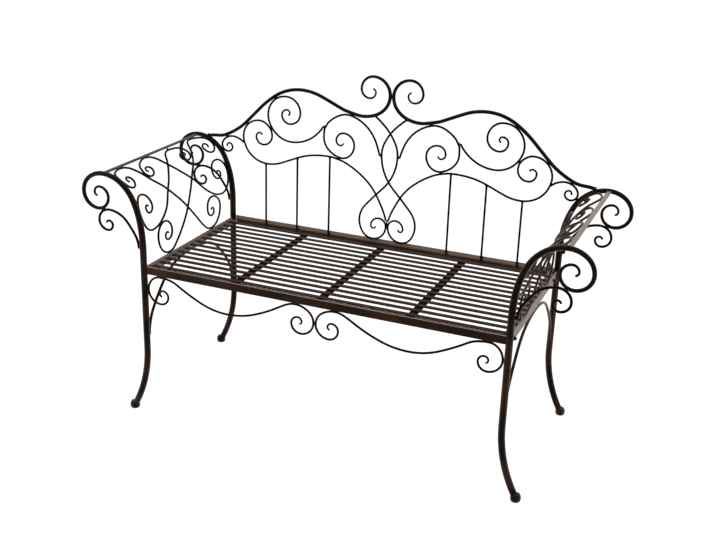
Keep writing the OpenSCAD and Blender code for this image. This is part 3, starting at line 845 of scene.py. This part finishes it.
def paint_material(name, paint, base, top_light, grain=1.0, sheen=1.0, patchy=1.0, aloft=1.0, pale=1.0):
    """Satin powder coat: uneven tone, a fine orange peel and painted top light that makes upward faces
    paler

    Above the seat the warm patches and the painted top light are "aloft" as strong, a painted shade by
    height; the painted top light is "pale" as light.
    """
    material = bpy.data.materials.get(name)
    if material:
        return material
    material = bpy.data.materials.new(name)
    material.use_nodes = True
    tree = material.node_tree
    place = add_node(tree, "ShaderNodeTexCoord").outputs["Object"]
    cloud = noise(tree, place, 11.0, 4.0)
    fleck = noise(tree, place, 260.0, 3.0)
    peel = noise(tree, place, 900.0, 2.0)
    # Painted shade by height: the warm patches and the painted top light fade to "aloft" above the seat
    rise = ramp(tree, part_of(tree, place, "Z"), SEAT * MM, SEAT * MM + FADE_HEIGHT, 1.0, aloft)
    patches = maths(tree, "MULTIPLY", ramp(tree, cloud, 0.46, 0.66, to_high=patchy), rise)
    tone = blend(tree, patches, opaque(base), opaque(paint.warm))
    normal = add_node(tree, "ShaderNodeNewGeometry").outputs["Normal"]
    # Painted top light: upward faces blend towards a pale colour, broken up by flecks
    sky_face = ramp(tree, part_of(tree, normal, "Z"), 0.45, 1.0, to_high=top_light)
    broken = ramp(tree, fleck, 0.30, 0.60, to_low=0.55)
    top_light_share = maths(tree, "MULTIPLY", maths(tree, "MULTIPLY", sky_face, broken), rise)
    coat = blend(tree, top_light_share, tone, opaque(paint.top_light_colour, pale))
    rough = ramp(tree, fleck, 0.30, 0.70, paint.rough - 0.07, paint.rough + 0.09)
    depth = paint.grain * grain
    fine = add_node(tree, "ShaderNodeBump", {"Height": peel, "Strength": 0.35, "Distance": depth})
    broad = add_node(tree, "ShaderNodeBump", {"Height": fleck, "Strength": 0.30,
                                              "Distance": 2.2 * depth, "Normal": fine.outputs[0]})
    shader = tree.nodes["Principled BSDF"]
    shader.inputs["Metallic"].default_value = 0.0
    shader.inputs["IOR"].default_value = 1.5
    shader.inputs["Specular IOR Level"].default_value = paint.sheen * sheen
    shader.inputs["Specular Tint"].default_value = opaque(paint.glint, 1 / max(1.0, sheen))
    tree.links.new(coat, shader.inputs["Base Color"])
    tree.links.new(rough, shader.inputs["Roughness"])
    tree.links.new(broad.outputs[0], shader.inputs["Normal"])
    return material


def bar_paint(paint):
    """Paint of the legs, arches and top rails, darker above the seat: painted shade there, with browner
    warm patches below it as painted light thrown up from the floor
    """
    return paint_material("bar_powder_coat", paint, paint.dark, 0.12, aloft=0.15)


def wire_paint(paint):
    """Paint of the thin curled bars, darker and more even; on the left arm rail it is painted shade
    beside the paler right rail
    """
    dark = [0.7 * part for part in paint.dark]
    return paint_material("wire_powder_coat", paint, dark, 0.05, sheen=0.25, patchy=0.3, aloft=0.4)


def right_weave_lit_paint(paint):
    """Paint of the bars woven into the right arm, browner than the other thin bars: painted light on
    the right arm, while the left arm keeps the darker wire paint
    """
    brown = [0.75 * part for part in paint.warm]
    return paint_material("right_weave_lit_coat", paint, brown, 0.15, sheen=0.4)


def slat_paint(paint):
    """Paint of the slats and the long ledges, browner and less shiny than the rest"""
    brown = [0.85 * part for part in paint.warm]
    return paint_material("slat_powder_coat", paint, brown, 0.03, sheen=0.05)


def under_slat_shade_paint(paint):
    """Paint of the flats across under the slats, dark and without painted top light: painted shade
    under the slats
    """
    return paint_material("under_slat_shade_coat", paint, paint.dark, 0.0, sheen=0.05, patchy=0.2)


def rim_paint(paint, name="rim_powder_coat", pale=2.3):
    """Paint of the rims, with pale painted top light on their upward faces"""
    brown = [0.7 * dark + 0.3 * warm for dark, warm in zip(paint.dark, paint.warm)]
    return paint_material(name, paint, brown, 0.90, sheen=2.5, pale=pale)


def rail_paint(paint):
    """Paint of the right arm rail and the side ledges, with a little less pale painted top light"""
    return rim_paint(paint, "rail_powder_coat", 1.5)


def inner_light_paint(paint, name, low, high):
    """Paint on the inner side of a rim, painted paler towards its top edge between two heights, as
    painted light
    """
    material = paint_material(name, paint, paint.dark, 0.80)
    tree = material.node_tree
    colour = tree.nodes["Principled BSDF"].inputs["Base Color"]
    place = add_node(tree, "ShaderNodeTexCoord").outputs["Object"]
    # Painted light: the inner face grows paler towards its top edge
    lit_share = ramp(tree, part_of(tree, place, "Z"), low * MM, high * MM)
    paler = blend(tree, lit_share, colour.links[0].from_socket, opaque(paint.top_light_colour, 1.5))
    tree.links.new(paler, colour)
    return material


def weld_paint(paint):
    """Paint over the weld beads"""
    return paint_material("weld_powder_coat", paint, paint.dark, 0.12, grain=2.5)


def foot_plastic(paint):
    """Moulded plastic of the foot caps"""
    return paint_material("foot_cap_plastic", paint, paint.foot, 0.15, grain=0.6)


def bolt_black(paint):
    """Black finish of bolts and nuts"""
    return paint_material("bolt_black_finish", paint, paint.foot, 0.10, grain=0.4)


class BENCH_OT_legs(bpy.types.Operator):
    """Bend the four legs with their tapered arm scrolls"""

    bl_idname = "bench.legs"
    bl_label = "Legs and arm scrolls"

    def execute(self, context):
        drawing, radii = leg_drawing(context.scene.bench_sizes)
        paint = bar_paint(context.scene.bench_paint)
        for side, end, corner in CORNERS:
            bend(f"leg_{corner}", "frame_metal", drawing, radii, facing_front(side, end * LEG_Y),
                 sides=24, paint=paint)
        return {"FINISHED"}


class BENCH_OT_feet(bpy.types.Operator):
    """Turn the round foot caps and set one under each leg"""

    bl_idname = "bench.feet"
    bl_label = "Foot caps"

    def execute(self, context):
        profile = [(0, 0), (6.5, 0), (9.6, 0.5), (11.6, 2.0), (12.9, 4.4), (13.45, 7.6), (13.45, 11.6),
                   (12.9, 15.0), (11.9, 17.9), (10.7, 20.0), (9.4, 21.4), (7.6, 21.9), (0, 21.9)]
        caps = settle("foot_caps", lathe("foot_cap", profile, sides=32), "Set of four", {
            "Width": 2 * FOOT_END[0].real, "Depth": 2 * LEG_Y * MM, "Height": 0.0,
            "Paint": foot_plastic(context.scene.bench_paint)})
        dress(caps, "foot_metal", *(f"foot_{end}_{side}" for _, end in ENDS for _, side in SIDES))
        return {"FINISHED"}


class BENCH_OT_braces(bpy.types.Operator):
    """Bend the brace scrolls between the legs and the arm scrolls"""

    bl_idname = "bench.braces"
    bl_label = "Brace scrolls"

    def execute(self, context):
        sizes = context.scene.bench_sizes
        drawing = brace_drawing(sizes)
        radii = rings(drawing[1], thinning(sizes.brace_bar / 2, drawing[1]))
        paint = wire_paint(context.scene.bench_paint)
        for side, end, corner in CORNERS:
            bend(f"brace_scroll_{corner}", "frame_metal", drawing, radii,
                 facing_front(side, end * LEG_Y), sides=18, paint=paint)
        return {"FINISHED"}


class BENCH_OT_woven_arms(bpy.types.Operator):
    """Bend the curled bars that are woven into each arm"""

    bl_idname = "bench.woven_arms"
    bl_label = "Woven arms"

    def execute(self, context):
        sizes = context.scene.bench_sizes
        # Lit and shaded copies: the right arm's woven bars get browner painted light, the left ones the
        # darker wire paint
        paints = {-1: wire_paint(context.scene.bench_paint), 1: right_weave_lit_paint(context.scene.bench_paint)}
        for part, drawing in weave_drawings(sizes).items():
            radii = rings(drawing[1], thin_ends(sizes.scroll_bar / 2, drawing[1]))
            for side, end, corner in CORNERS:
                bend(f"arm_{part}_scroll_{corner}", "scroll_metal", drawing, radii,
                     on_weave(sizes, side, end), sides=16, paint=paints[side])
        return {"FINISHED"}


class BENCH_OT_side_arches(bpy.types.Operator):
    """Bend the arches under the side rims"""

    bl_idname = "bench.side_arches"
    bl_label = "Side arches"

    def execute(self, context):
        half = context.scene.bench_sizes.arch_bar / 2
        stretches = through(*ARCH_HALF, *ARCH_OTHER)
        radii = rings(stretches, lambda at: half)
        paint = bar_paint(context.scene.bench_paint)
        for side, side_name in SIDES:
            bend(f"side_arch_{side_name}", "scroll_metal", (ARCH_HALF[0], stretches), radii,
                 lambda point: Vector((side * LEG_X * MM, point.real, point.imag)),
                 sides=18, paint=paint)
        return {"FINISHED"}


class BENCH_OT_top_rails(bpy.types.Operator):
    """Bend the two top rails of the back with their tapered curls"""

    bl_idname = "bench.top_rails"
    bl_label = "Top rails"

    def execute(self, context):
        sizes = context.scene.bench_sizes
        drawing, rail = top_rail_drawing(sizes)
        curl_length = length_of(*drawing[1]) - rail
        half = sizes.rail_bar / 2

        def radius_at(at):
            return half - (half - TOP_CURL_TIP) * max(0.0, at - rail) / curl_length

        radii = rings(drawing[1], radius_at, first=FLARED)
        paint = bar_paint(context.scene.bench_paint)
        for side, side_name in SIDES:
            bend(f"top_rail_{side_name}", "frame_metal", drawing, radii, facing_front(side, LEG_Y),
                 sides=20, paint=paint)
        return {"FINISHED"}


class BENCH_OT_back_scrolls(bpy.types.Operator):
    """Bend the waves, swags and curls that fill the back"""

    bl_idname = "bench.back_scrolls"
    bl_label = "Back scrolls"

    def execute(self, context):
        sizes = context.scene.bench_sizes
        paint = wire_paint(context.scene.bench_paint)
        for part, (drawing, first) in back_drawings(sizes).items():
            radii = rings(drawing[1], thinning(sizes.scroll_bar / 2, drawing[1]), first=first)
            for side, side_name in SIDES:
                bend(f"{part}_scroll_{side_name}", "scroll_metal", drawing, radii,
                     facing_front(side, LEG_Y), sides=16, paint=paint)
        return {"FINISHED"}


class BENCH_OT_spindles(bpy.types.Operator):
    """Stand the spindles between the rear rim and the waves"""

    bl_idname = "bench.spindles"
    bl_label = "Spindles"

    def execute(self, context):
        sizes = context.scene.bench_sizes
        half = sizes.spindle_bar / 2
        paint = wire_paint(context.scene.bench_paint)
        for side, side_name in SIDES:
            for index, (top, heading) in enumerate(SPINDLE_TOPS, 1):
                meets = sizes.scroll_bar / 2 * SPINDLE_REACH_IN / math.cos(math.radians(heading))
                stretches = [(0.0, top.imag - meets - SPINDLE_FOOT * MM)]
                radii = rings(stretches, lambda at: half, last=FLARED, pitch=0.03)
                drawing = spot(top.real / MM, SPINDLE_FOOT, 90), stretches
                bend(f"spindle_{index}_{side_name}", "scroll_metal", drawing, radii,
                     facing_front(side, LEG_Y), sides=16, paint=paint)
        return {"FINISHED"}


class BENCH_OT_apron(bpy.types.Operator):
    """Bend the apron scrolls under the front rim"""

    bl_idname = "bench.apron"
    bl_label = "Apron scrolls"

    def execute(self, context):
        sizes = context.scene.bench_sizes
        drawing = apron_drawing(sizes)
        radii = rings(drawing[1], thin_ends(sizes.scroll_bar / 2, drawing[1]))
        paint = wire_paint(context.scene.bench_paint)
        for side, side_name in SIDES:
            bend(f"apron_scroll_{side_name}", "scroll_metal", drawing, radii,
                 facing_front(side, -LEG_Y), sides=16, paint=paint)
        return {"FINISHED"}


class BENCH_OT_rims(bpy.types.Operator):
    """Cut the rims of the seat and the flat rails on the arms, the right rail painted paler as painted
    light and the left darker as painted shade
    """

    bl_idname = "bench.rims"
    bl_label = "Rims and arm rails"

    def execute(self, context):
        edge = context.scene.bench_sizes.eased_edge
        coat = context.scene.bench_paint
        paint = rim_paint(coat)
        # The inner faces of the rims get painted light towards their top edges
        end_inner_light = inner_light_paint(coat, "end_rims_inner_light", SEAT - 14, SEAT - 7)
        side_inner_light = inner_light_paint(coat, "side_rims_inner_light", SEAT - 19, SEAT - 13)
        # Lit and shaded copies: the right arm rail gets painted light, the left one painted shade
        rails = {-1: wire_paint(coat), 1: rail_paint(coat)}
        for end, end_name in ENDS:
            cut(f"{end_name}_rim", "rim_metal", edge, paint, inward=(0, -end, 0),
                inner_paint=end_inner_light)
        for side, side_name in SIDES:
            cut(f"side_rim_{side_name}", "flat_metal", edge, paint, inward=(-side, 0, 0),
                inner_paint=side_inner_light)
            cut(f"arm_rail_{side_name}", "flat_metal", edge, rails[side])
        return {"FINISHED"}


class BENCH_OT_ledges(bpy.types.Operator):
    """Cut the ledges and flats that carry the slats, with the lugs for the bolts"""

    bl_idname = "bench.ledges"
    bl_label = "Ledges and flats"

    def execute(self, context):
        edge = context.scene.bench_sizes.eased_edge
        coat = context.scene.bench_paint
        for _, end_name in ENDS:
            cut(f"seat_ledge_{end_name}", "flat_metal", edge, slat_paint(coat))
        for index in (1, 2, 3):
            # Painted shade: the flats under the slats take a darker paint
            cut(f"cross_flat_{index}", "flat_metal", edge, under_slat_shade_paint(coat))
        thick = LUG_THICK * MM
        for side, side_name in SIDES:
            node = f"seat_ledge_{side_name}"
            low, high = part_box(node)
            left, right = (high.x - thick, high.x) if side > 0 else (low.x, low.x + thick)
            boxes = [((low.x, low.y, high.z - thick), high)]
            for depth in (-BOLT_Y, BOLT_Y):
                boxes.append(((left, (depth - LUG_HALF_WIDTH) * MM, low.z),
                              (right, (depth + LUG_HALF_WIDTH) * MM, high.z)))
            cut(node, "flat_metal", edge, rail_paint(coat), boxes)
        return {"FINISHED"}


class BENCH_OT_slats(bpy.types.Operator):
    """Lay the slats of the seat"""

    bl_idname = "bench.slats"
    bl_label = "Seat slats"

    def execute(self, context):
        sizes = context.scene.bench_sizes
        low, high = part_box("seat_slats")
        mesh = bpy.data.meshes.new("slat_seed")
        piece = settle("seat_slats_flat", mesh, "Seat slats", {
            "Count": sizes.slat_count, "Span": high.y - low.y - sizes.slat_width,
            "Length": high.x - low.x, "Width": sizes.slat_width, "Thickness": high.z - low.z,
            "Edge": sizes.eased_edge, "Height": (low.z + high.z) / 2,
            "Paint": slat_paint(context.scene.bench_paint)})
        ease_shading(piece.data)
        dress(piece, "flat_metal", "seat_slats")
        return {"FINISHED"}


class BENCH_OT_bolts(bpy.types.Operator):
    """Turn the domed bolts and their nuts and set them through the side rims"""

    bl_idname = "bench.bolts"
    bl_label = "Bolts and nuts"

    def execute(self, context):
        dome = [(4.8 * math.sin(math.radians(turn)), 4.0 + 4.8 * math.cos(math.radians(turn)))
                for turn in (90, 75, 60, 45, 30, 15)]
        shank = [(0, -10.2), (2.1, -10.2), (2.5, -9.8), (2.5, 2.0), (4.5, 2.0), (4.8, 2.3)]
        bolt = lathe("bolt", [*shank, *dome, (0, 8.8)], sides=24)
        profile = [(0, -9.2), (3.9, -9.2), (4.6, -8.8), (4.6, -5.6), (3.9, -5.2), (0, -5.2)]
        nut = lathe("nut", profile, sides=6)
        nut.shade_flat()
        for name, mesh, node in (("seat_bolts_domed", bolt, "seat_bolts"),
                                 ("seat_nuts_hex", nut, "seat_nuts")):
            mesh.transform(Matrix.Rotation(math.radians(90), 4, "Y"))
            piece = settle(name, mesh, "Set of four", {
                "Width": 2 * LEG_X * MM, "Depth": 2 * BOLT_Y * MM, "Height": BOLT_Z * MM,
                "Paint": bolt_black(context.scene.bench_paint)})
            dress(piece, "bolt_metal", node)
        return {"FINISHED"}


# Depths of the beads at the lens bars' feet, the spindles, the side rims' ends and the arches' feet
RIM_WELD_Y = 0.2452
SPINDLE_WELD_Y = 0.2447
SIDE_RIM_WELD_Y = 0.2335
ARCH_WELD_Y = 0.2330
TO_RIGHT = Vector((1, 0, 0))
TO_BACK = Vector((0, 1, 0))
UPWARD = Vector((0, 0, 1))


def bead(place, along, face, length, width, high=0.0015):
    """A weld bead: its place, its turn and its half sizes"""
    across = face.cross(along).normalized()
    turn = Matrix((along.normalized(), across, along.cross(across).normalized())).transposed()
    return place, turn.to_euler(), (length / 2, width / 2, high)


def flat_beads(sizes, side, depth, at, raise_by, length=1.0):
    """Beads on the front and rear of a spot where two bars of an upright drawing touch"""
    point, heading = at
    way = toward(heading)
    along = Vector((side * way.real, 0.0, way.imag))
    return [bead(Vector((side * point.real, depth * MM + face * raise_by, point.imag)), along,
                 Vector((0.0, face, 0.0)), sizes.weld_length * length, sizes.weld_width)
            for face in (-1.0, 1.0)]


def raised(bar):
    """How far in front of and behind a bar's middle its beads lie"""
    return 0.6 * bar / 2


def back_welds(sizes):
    """Beads of the back: its touches, its crossings, the spindles' feet and the middle"""
    raise_by = raised(sizes.scroll_bar)
    touch = beside(spot_at(ARM_START, ARM_SCROLL, CORNER_TOUCH), arm_radius(sizes, CORNER_TOUCH))
    found = []
    for side, _ in SIDES:
        for at in (RAIL_MEETS_WAVE, RAIL_MEETS_SWAG, RAIL_MEETS_INNER, RAIL_MEETS_CORNER,
                   WAVE_MEETS_INNER, SWAG_MEETS_WAVE, SWAG_MEETS_INNER, back_spot(26.5, 248, 80)):
            found += flat_beads(sizes, side, LEG_Y, at, raise_by)
        found += flat_beads(sizes, side, LEG_Y, WAVE_CROSSES_LENS, raise_by * 1.5, 0.6)
        found += flat_beads(sizes, side, LEG_Y, touch, raise_by)
        for across in (43, 48):
            found.append(bead(Vector((side * across * MM, RIM_WELD_Y, (SEAT + 0.8) * MM)), TO_RIGHT,
                              UPWARD, sizes.weld_length, 0.003))
        for top, _ in SPINDLE_TOPS:
            for rise in (-1.5, -17):
                place = Vector((side * (top.real + 0.003), SPINDLE_WELD_Y, (SEAT + rise) * MM))
                found.append(bead(place, UPWARD, Vector((side, -1, 0)).normalized(), 0.006, 0.003))
    for up, length in ((43, 1.0), (418, 1.0), (54, 2.0)):
        found += flat_beads(sizes, 1, LEG_Y, back_spot(0, up, 90), raise_by, length)
    for point, _ in (LENS_CROSS_HIGH, LENS_CROSS_LOW):
        found += flat_beads(sizes, 1, LEG_Y, (point, 90), raise_by * 1.6, 0.6)
    return found


def apron_welds(sizes):
    """Beads of the apron: at the legs, under the front rim and in the middle"""
    raise_by = raised(sizes.scroll_bar)
    spots = [spot(LEG_X - sizes.leg_bar / 2 / MM, APRON_AT_LEG, 90)]
    spots += [spot(across, FRONT_RIM_BOTTOM, 180) for across in APRON_AT_RIM]
    found = []
    for side, _ in SIDES:
        for at in spots:
            found += flat_beads(sizes, side, -LEG_Y, at, raise_by)
    return found + flat_beads(sizes, 1, -LEG_Y, spot(0, APRON_AT_MIDDLE, 90), raise_by)


def arm_welds(sizes, side):
    """Beads of one arm: braces, rims, arch, rail and the weave's touches"""
    under = beside(spot_at(ARM_START, ARM_SCROLL, BRACE_TOUCH), arm_radius(sizes, BRACE_TOUCH))
    leg_side = LEG_X + sizes.leg_bar / 2 / MM
    high = WEAVE_LENGTH - sizes.arm_flat / 2
    low = SIDE_RIM_TOP * MM - WEAVE_START[0].imag
    crown = Vector((side * ARM_CROWN[0].real, 0.0, ARM_CROWN[0].imag))
    reach = LEG_Y * MM - arm_radius(sizes, CROWN_LENGTH)
    found = []
    for end, _ in ENDS:
        inward = Vector((0, -end, 0))
        for at in (spot(leg_side, SEAT + 50, 90), under):
            found += flat_beads(sizes, side, end * LEG_Y, at, raised(sizes.brace_bar), 1.2)
        for height in (SEAT - 4, SIDE_RIM_BOTTOM + 1):
            for across in (-2, 2):
                place = Vector((side * (LEG_X + across) * MM, end * SIDE_RIM_WELD_Y, height * MM))
                found.append(bead(place, UPWARD, inward, 0.012, 0.004))
        arch_foot = Vector((side * LEG_X * MM, end * ARCH_WELD_Y, (SEAT - 190) * MM))
        for across in (-0.0025, 0.0025):
            found.append(bead(arch_foot + across * TO_RIGHT, UPWARD, inward, 0.02, 0.004))
        for face in (-1, 1):
            found.append(bead(crown + Vector((0, end * reach, face * 0.0015)), TO_RIGHT,
                              face * UPWARD, 0.011, 0.0035, 0.001))
        for depth, up, along_rail in (
                (-LEG_Y * MM + arm_radius(sizes, LOW_TOUCH_ON_ARM), LOW_TOUCH, False),
                (LEG_Y * MM - arm_radius(sizes, HIGH_TOUCH_ON_ARM), HIGH_TOUCH, False),
                (LOW_AT_RAIL, high, True), (HIGH_AT_RAIL, high, True), (LOW_AT_RIM, low, True)):
            face, out = weave_face(sizes, side, depth, up)
            face.y *= end
            along = TO_BACK if along_rail else TO_BACK.cross(out)
            for way in (-1, 1):
                found.append(bead(face + way * raised(sizes.scroll_bar) * out, along, way * out,
                                  sizes.weld_length, sizes.weld_width))
    return found


class BENCH_OT_welds(bpy.types.Operator):
    """Lay weld beads where bars touch"""

    bl_idname = "bench.welds"
    bl_label = "Weld beads"

    def execute(self, context):
        sizes = context.scene.bench_sizes
        groups = {"back_welds": back_welds(sizes), "apron_welds": apron_welds(sizes)}
        for side, side_name in SIDES:
            groups[f"arm_welds_{side_name}"] = arm_welds(sizes, side)
        for name, beads in groups.items():
            mesh = bpy.data.meshes.new(name + "_spots")
            mesh.from_pydata([place for place, turn, size in beads], [], [])
            turns = mesh.attributes.new("bead_turn", "FLOAT_VECTOR", "POINT")
            turns.data.foreach_set("vector", [part for _, turn, _ in beads for part in turn])
            halves = mesh.attributes.new("bead_size", "FLOAT_VECTOR", "POINT")
            halves.data.foreach_set("vector", [part for _, _, size in beads for part in size])
            piece = settle(name, mesh, "Weld beads", {
                "Lump": 0.0008, "Seed": 7, "Paint": weld_paint(context.scene.bench_paint)})
            dress(piece, "frame_metal")
        return {"FINISHED"}


CAMERA_PLACE = Vector((1.023145, -2.478323, 1.468078))
CAMERA_AZIMUTH = 22.1453
CAMERA_DROP = 21.2370
CAMERA_ROLL = 1.8279
CAMERA_LENS = 54.0038
LIGHT_AIM = Vector((0, 0, 0.45))
WHITE = (1.0, 1.0, 1.0, 1.0)
FLOOR_REACH = 25.0
FLOOR_CORNERS = ((-1, -1), (1, -1), (1, 1), (-1, 1))
# What is seen of the floor is its own light plus this share of the light that falls on it
FLOOR_GLOW = 0.85
FLOOR_SHADE = 0.42


def grey(tone):
    """A colour as dark as a tone"""
    return opaque((tone, tone, tone))


def soft_light(name, place, size, power):
    """A large square lamp that looks at the bench"""
    lamp = bpy.data.lights.new(name, "AREA")
    lamp.shape = "SQUARE"
    lamp.size = size
    lamp.energy = power
    holder = bpy.data.objects.new(name, lamp)
    holder.location = place
    holder.rotation_euler = (LIGHT_AIM - Vector(place)).to_track_quat("-Z", "Y").to_euler()
    holder.visible_camera = False
    bpy.context.scene.collection.objects.link(holder)


def seen_directly(tree):
    """1 for rays from the camera and for reflections and see-through views, else 0"""
    path = add_node(tree, "ShaderNodeLightPath").outputs
    shiny = maths(tree, "MAXIMUM", path["Is Camera Ray"], path["Is Glossy Ray"])
    return maths(tree, "MAXIMUM", shiny, path["Is Transmission Ray"])


class BENCH_OT_studio(bpy.types.Operator):
    """Set up the pale floor, the soft light, the white backdrop and the camera"""

    bl_idname = "bench.studio"
    bl_label = "Studio"

    def execute(self, context):
        scene = context.scene
        studio = scene.bench_studio
        self.lay_floor(scene, studio)
        self.light_room(scene, studio)
        self.set_camera(scene)
        scene.view_settings.view_transform = "Standard"
        return {"FINISHED"}

    def lay_floor(self, scene, studio):
        """A wide floor that looks white, while it lights the bench as its floor tone says"""
        mesh = bpy.data.meshes.new("studio_floor")
        mesh.from_pydata([(FLOOR_REACH * across, FLOOR_REACH * depth, 0)
                          for across, depth in FLOOR_CORNERS], [], [(0, 1, 2, 3)])
        floor = bpy.data.objects.new("studio_floor", mesh)
        scene.collection.objects.link(floor)
        material = bpy.data.materials.new("pale_floor")
        material.use_nodes = True
        tree = material.node_tree
        tree.nodes.remove(tree.nodes["Principled BSDF"])
        plain = add_node(tree, "ShaderNodeBsdfDiffuse", {"Color": grey(studio.floor_tone)})
        shaded = add_node(tree, "ShaderNodeBsdfDiffuse", {"Color": grey(FLOOR_SHADE)})
        lift = add_node(tree, "ShaderNodeEmission", {"Color": WHITE, "Strength": FLOOR_GLOW})
        bright = add_node(tree, "ShaderNodeAddShader", {0: shaded.outputs[0], 1: lift.outputs[0]})
        mixed = add_node(tree, "ShaderNodeMixShader",
                         {0: seen_directly(tree), 1: plain.outputs[0], 2: bright.outputs[0]})
        tree.links.new(mixed.outputs[0], tree.nodes["Material Output"].inputs["Surface"])
        mesh.materials.append(material)

    def light_room(self, scene, studio):
        """A room that looks white but lights less than that, and two soft lamps"""
        world = bpy.data.worlds.new("white_room")
        scene.world = world
        world.use_nodes = True
        tree = world.node_tree
        backdrop = tree.nodes["Background"]
        backdrop.inputs["Color"].default_value = WHITE
        strength = ramp(tree, seen_directly(tree), 0.0, 1.0, to_low=studio.sky)
        tree.links.new(strength, backdrop.inputs["Strength"])
        soft_light("key_light", (-1.4, -1.6, 3.4), 2.4, studio.key_power)
        soft_light("fill_light", (2.8, 0.6, 2.2), 1.8, studio.fill_power)

    def set_camera(self, scene):
        """The camera where the photo was taken"""
        azimuth = math.radians(CAMERA_AZIMUTH)
        drop = math.radians(CAMERA_DROP)
        roll = math.radians(CAMERA_ROLL)
        level = Vector((math.cos(azimuth), math.sin(azimuth), 0.0))
        ahead = Vector((-math.sin(azimuth) * math.cos(drop), math.cos(azimuth) * math.cos(drop),
                        -math.sin(drop)))
        above = level.cross(ahead)
        right = math.cos(roll) * level + math.sin(roll) * above
        up = math.cos(roll) * above - math.sin(roll) * level
        lens = bpy.data.cameras.new("photo_camera")
        lens.lens = CAMERA_LENS
        lens.sensor_width = 36.0
        lens.sensor_fit = "HORIZONTAL"
        camera = bpy.data.objects.new("photo_camera", lens)
        scene.collection.objects.link(camera)
        turn = Matrix((right, up, -ahead)).transposed()
        camera.matrix_world = Matrix.Translation(CAMERA_PLACE) @ turn.to_4x4()
        scene.camera = camera


class BENCH_PT_panel(bpy.types.Panel):
    """Sizes, colours and pieces of the bench"""

    bl_idname = "BENCH_PT_panel"
    bl_label = "Scrolled garden bench"
    bl_space_type = "VIEW_3D"
    bl_region_type = "UI"
    bl_category = "Bench"

    def draw(self, context):
        scene = context.scene
        for group in (scene.bench_sizes, scene.bench_paint, scene.bench_studio):
            column = self.layout.column(align=True)
            for name in group.__annotations__:
                column.prop(group, name)
        column = self.layout.column(align=True)
        for operator in OPERATORS:
            column.operator(operator.bl_idname)


GROUPS = (BenchSizes, BenchPaint, BenchStudio)
OPERATORS = (BENCH_OT_legs, BENCH_OT_feet, BENCH_OT_braces, BENCH_OT_woven_arms, BENCH_OT_side_arches,
             BENCH_OT_top_rails, BENCH_OT_back_scrolls, BENCH_OT_spindles, BENCH_OT_apron,
             BENCH_OT_rims, BENCH_OT_ledges, BENCH_OT_slats, BENCH_OT_bolts, BENCH_OT_welds,
             BENCH_OT_studio)


def register():
    for kind in (*GROUPS, *OPERATORS, BENCH_PT_panel):
        bpy.utils.register_class(kind)
    bpy.types.Scene.bench_sizes = PointerProperty(type=BenchSizes)
    bpy.types.Scene.bench_paint = PointerProperty(type=BenchPaint)
    bpy.types.Scene.bench_studio = PointerProperty(type=BenchStudio)


def unregister():
    del bpy.types.Scene.bench_studio
    del bpy.types.Scene.bench_paint
    del bpy.types.Scene.bench_sizes
    for kind in reversed((*GROUPS, *OPERATORS, BENCH_PT_panel)):
        bpy.utils.unregister_class(kind)


def main():
    register()
    bpy.ops.bench.legs()
    bpy.ops.bench.feet()
    bpy.ops.bench.braces()
    bpy.ops.bench.woven_arms()
    bpy.ops.bench.side_arches()
    bpy.ops.bench.top_rails()
    bpy.ops.bench.back_scrolls()
    bpy.ops.bench.spindles()
    bpy.ops.bench.apron()
    bpy.ops.bench.rims()
    bpy.ops.bench.ledges()
    bpy.ops.bench.slats()
    bpy.ops.bench.bolts()
    bpy.ops.bench.welds()
    bpy.ops.bench.studio()


if __name__ == "__main__":
    main()
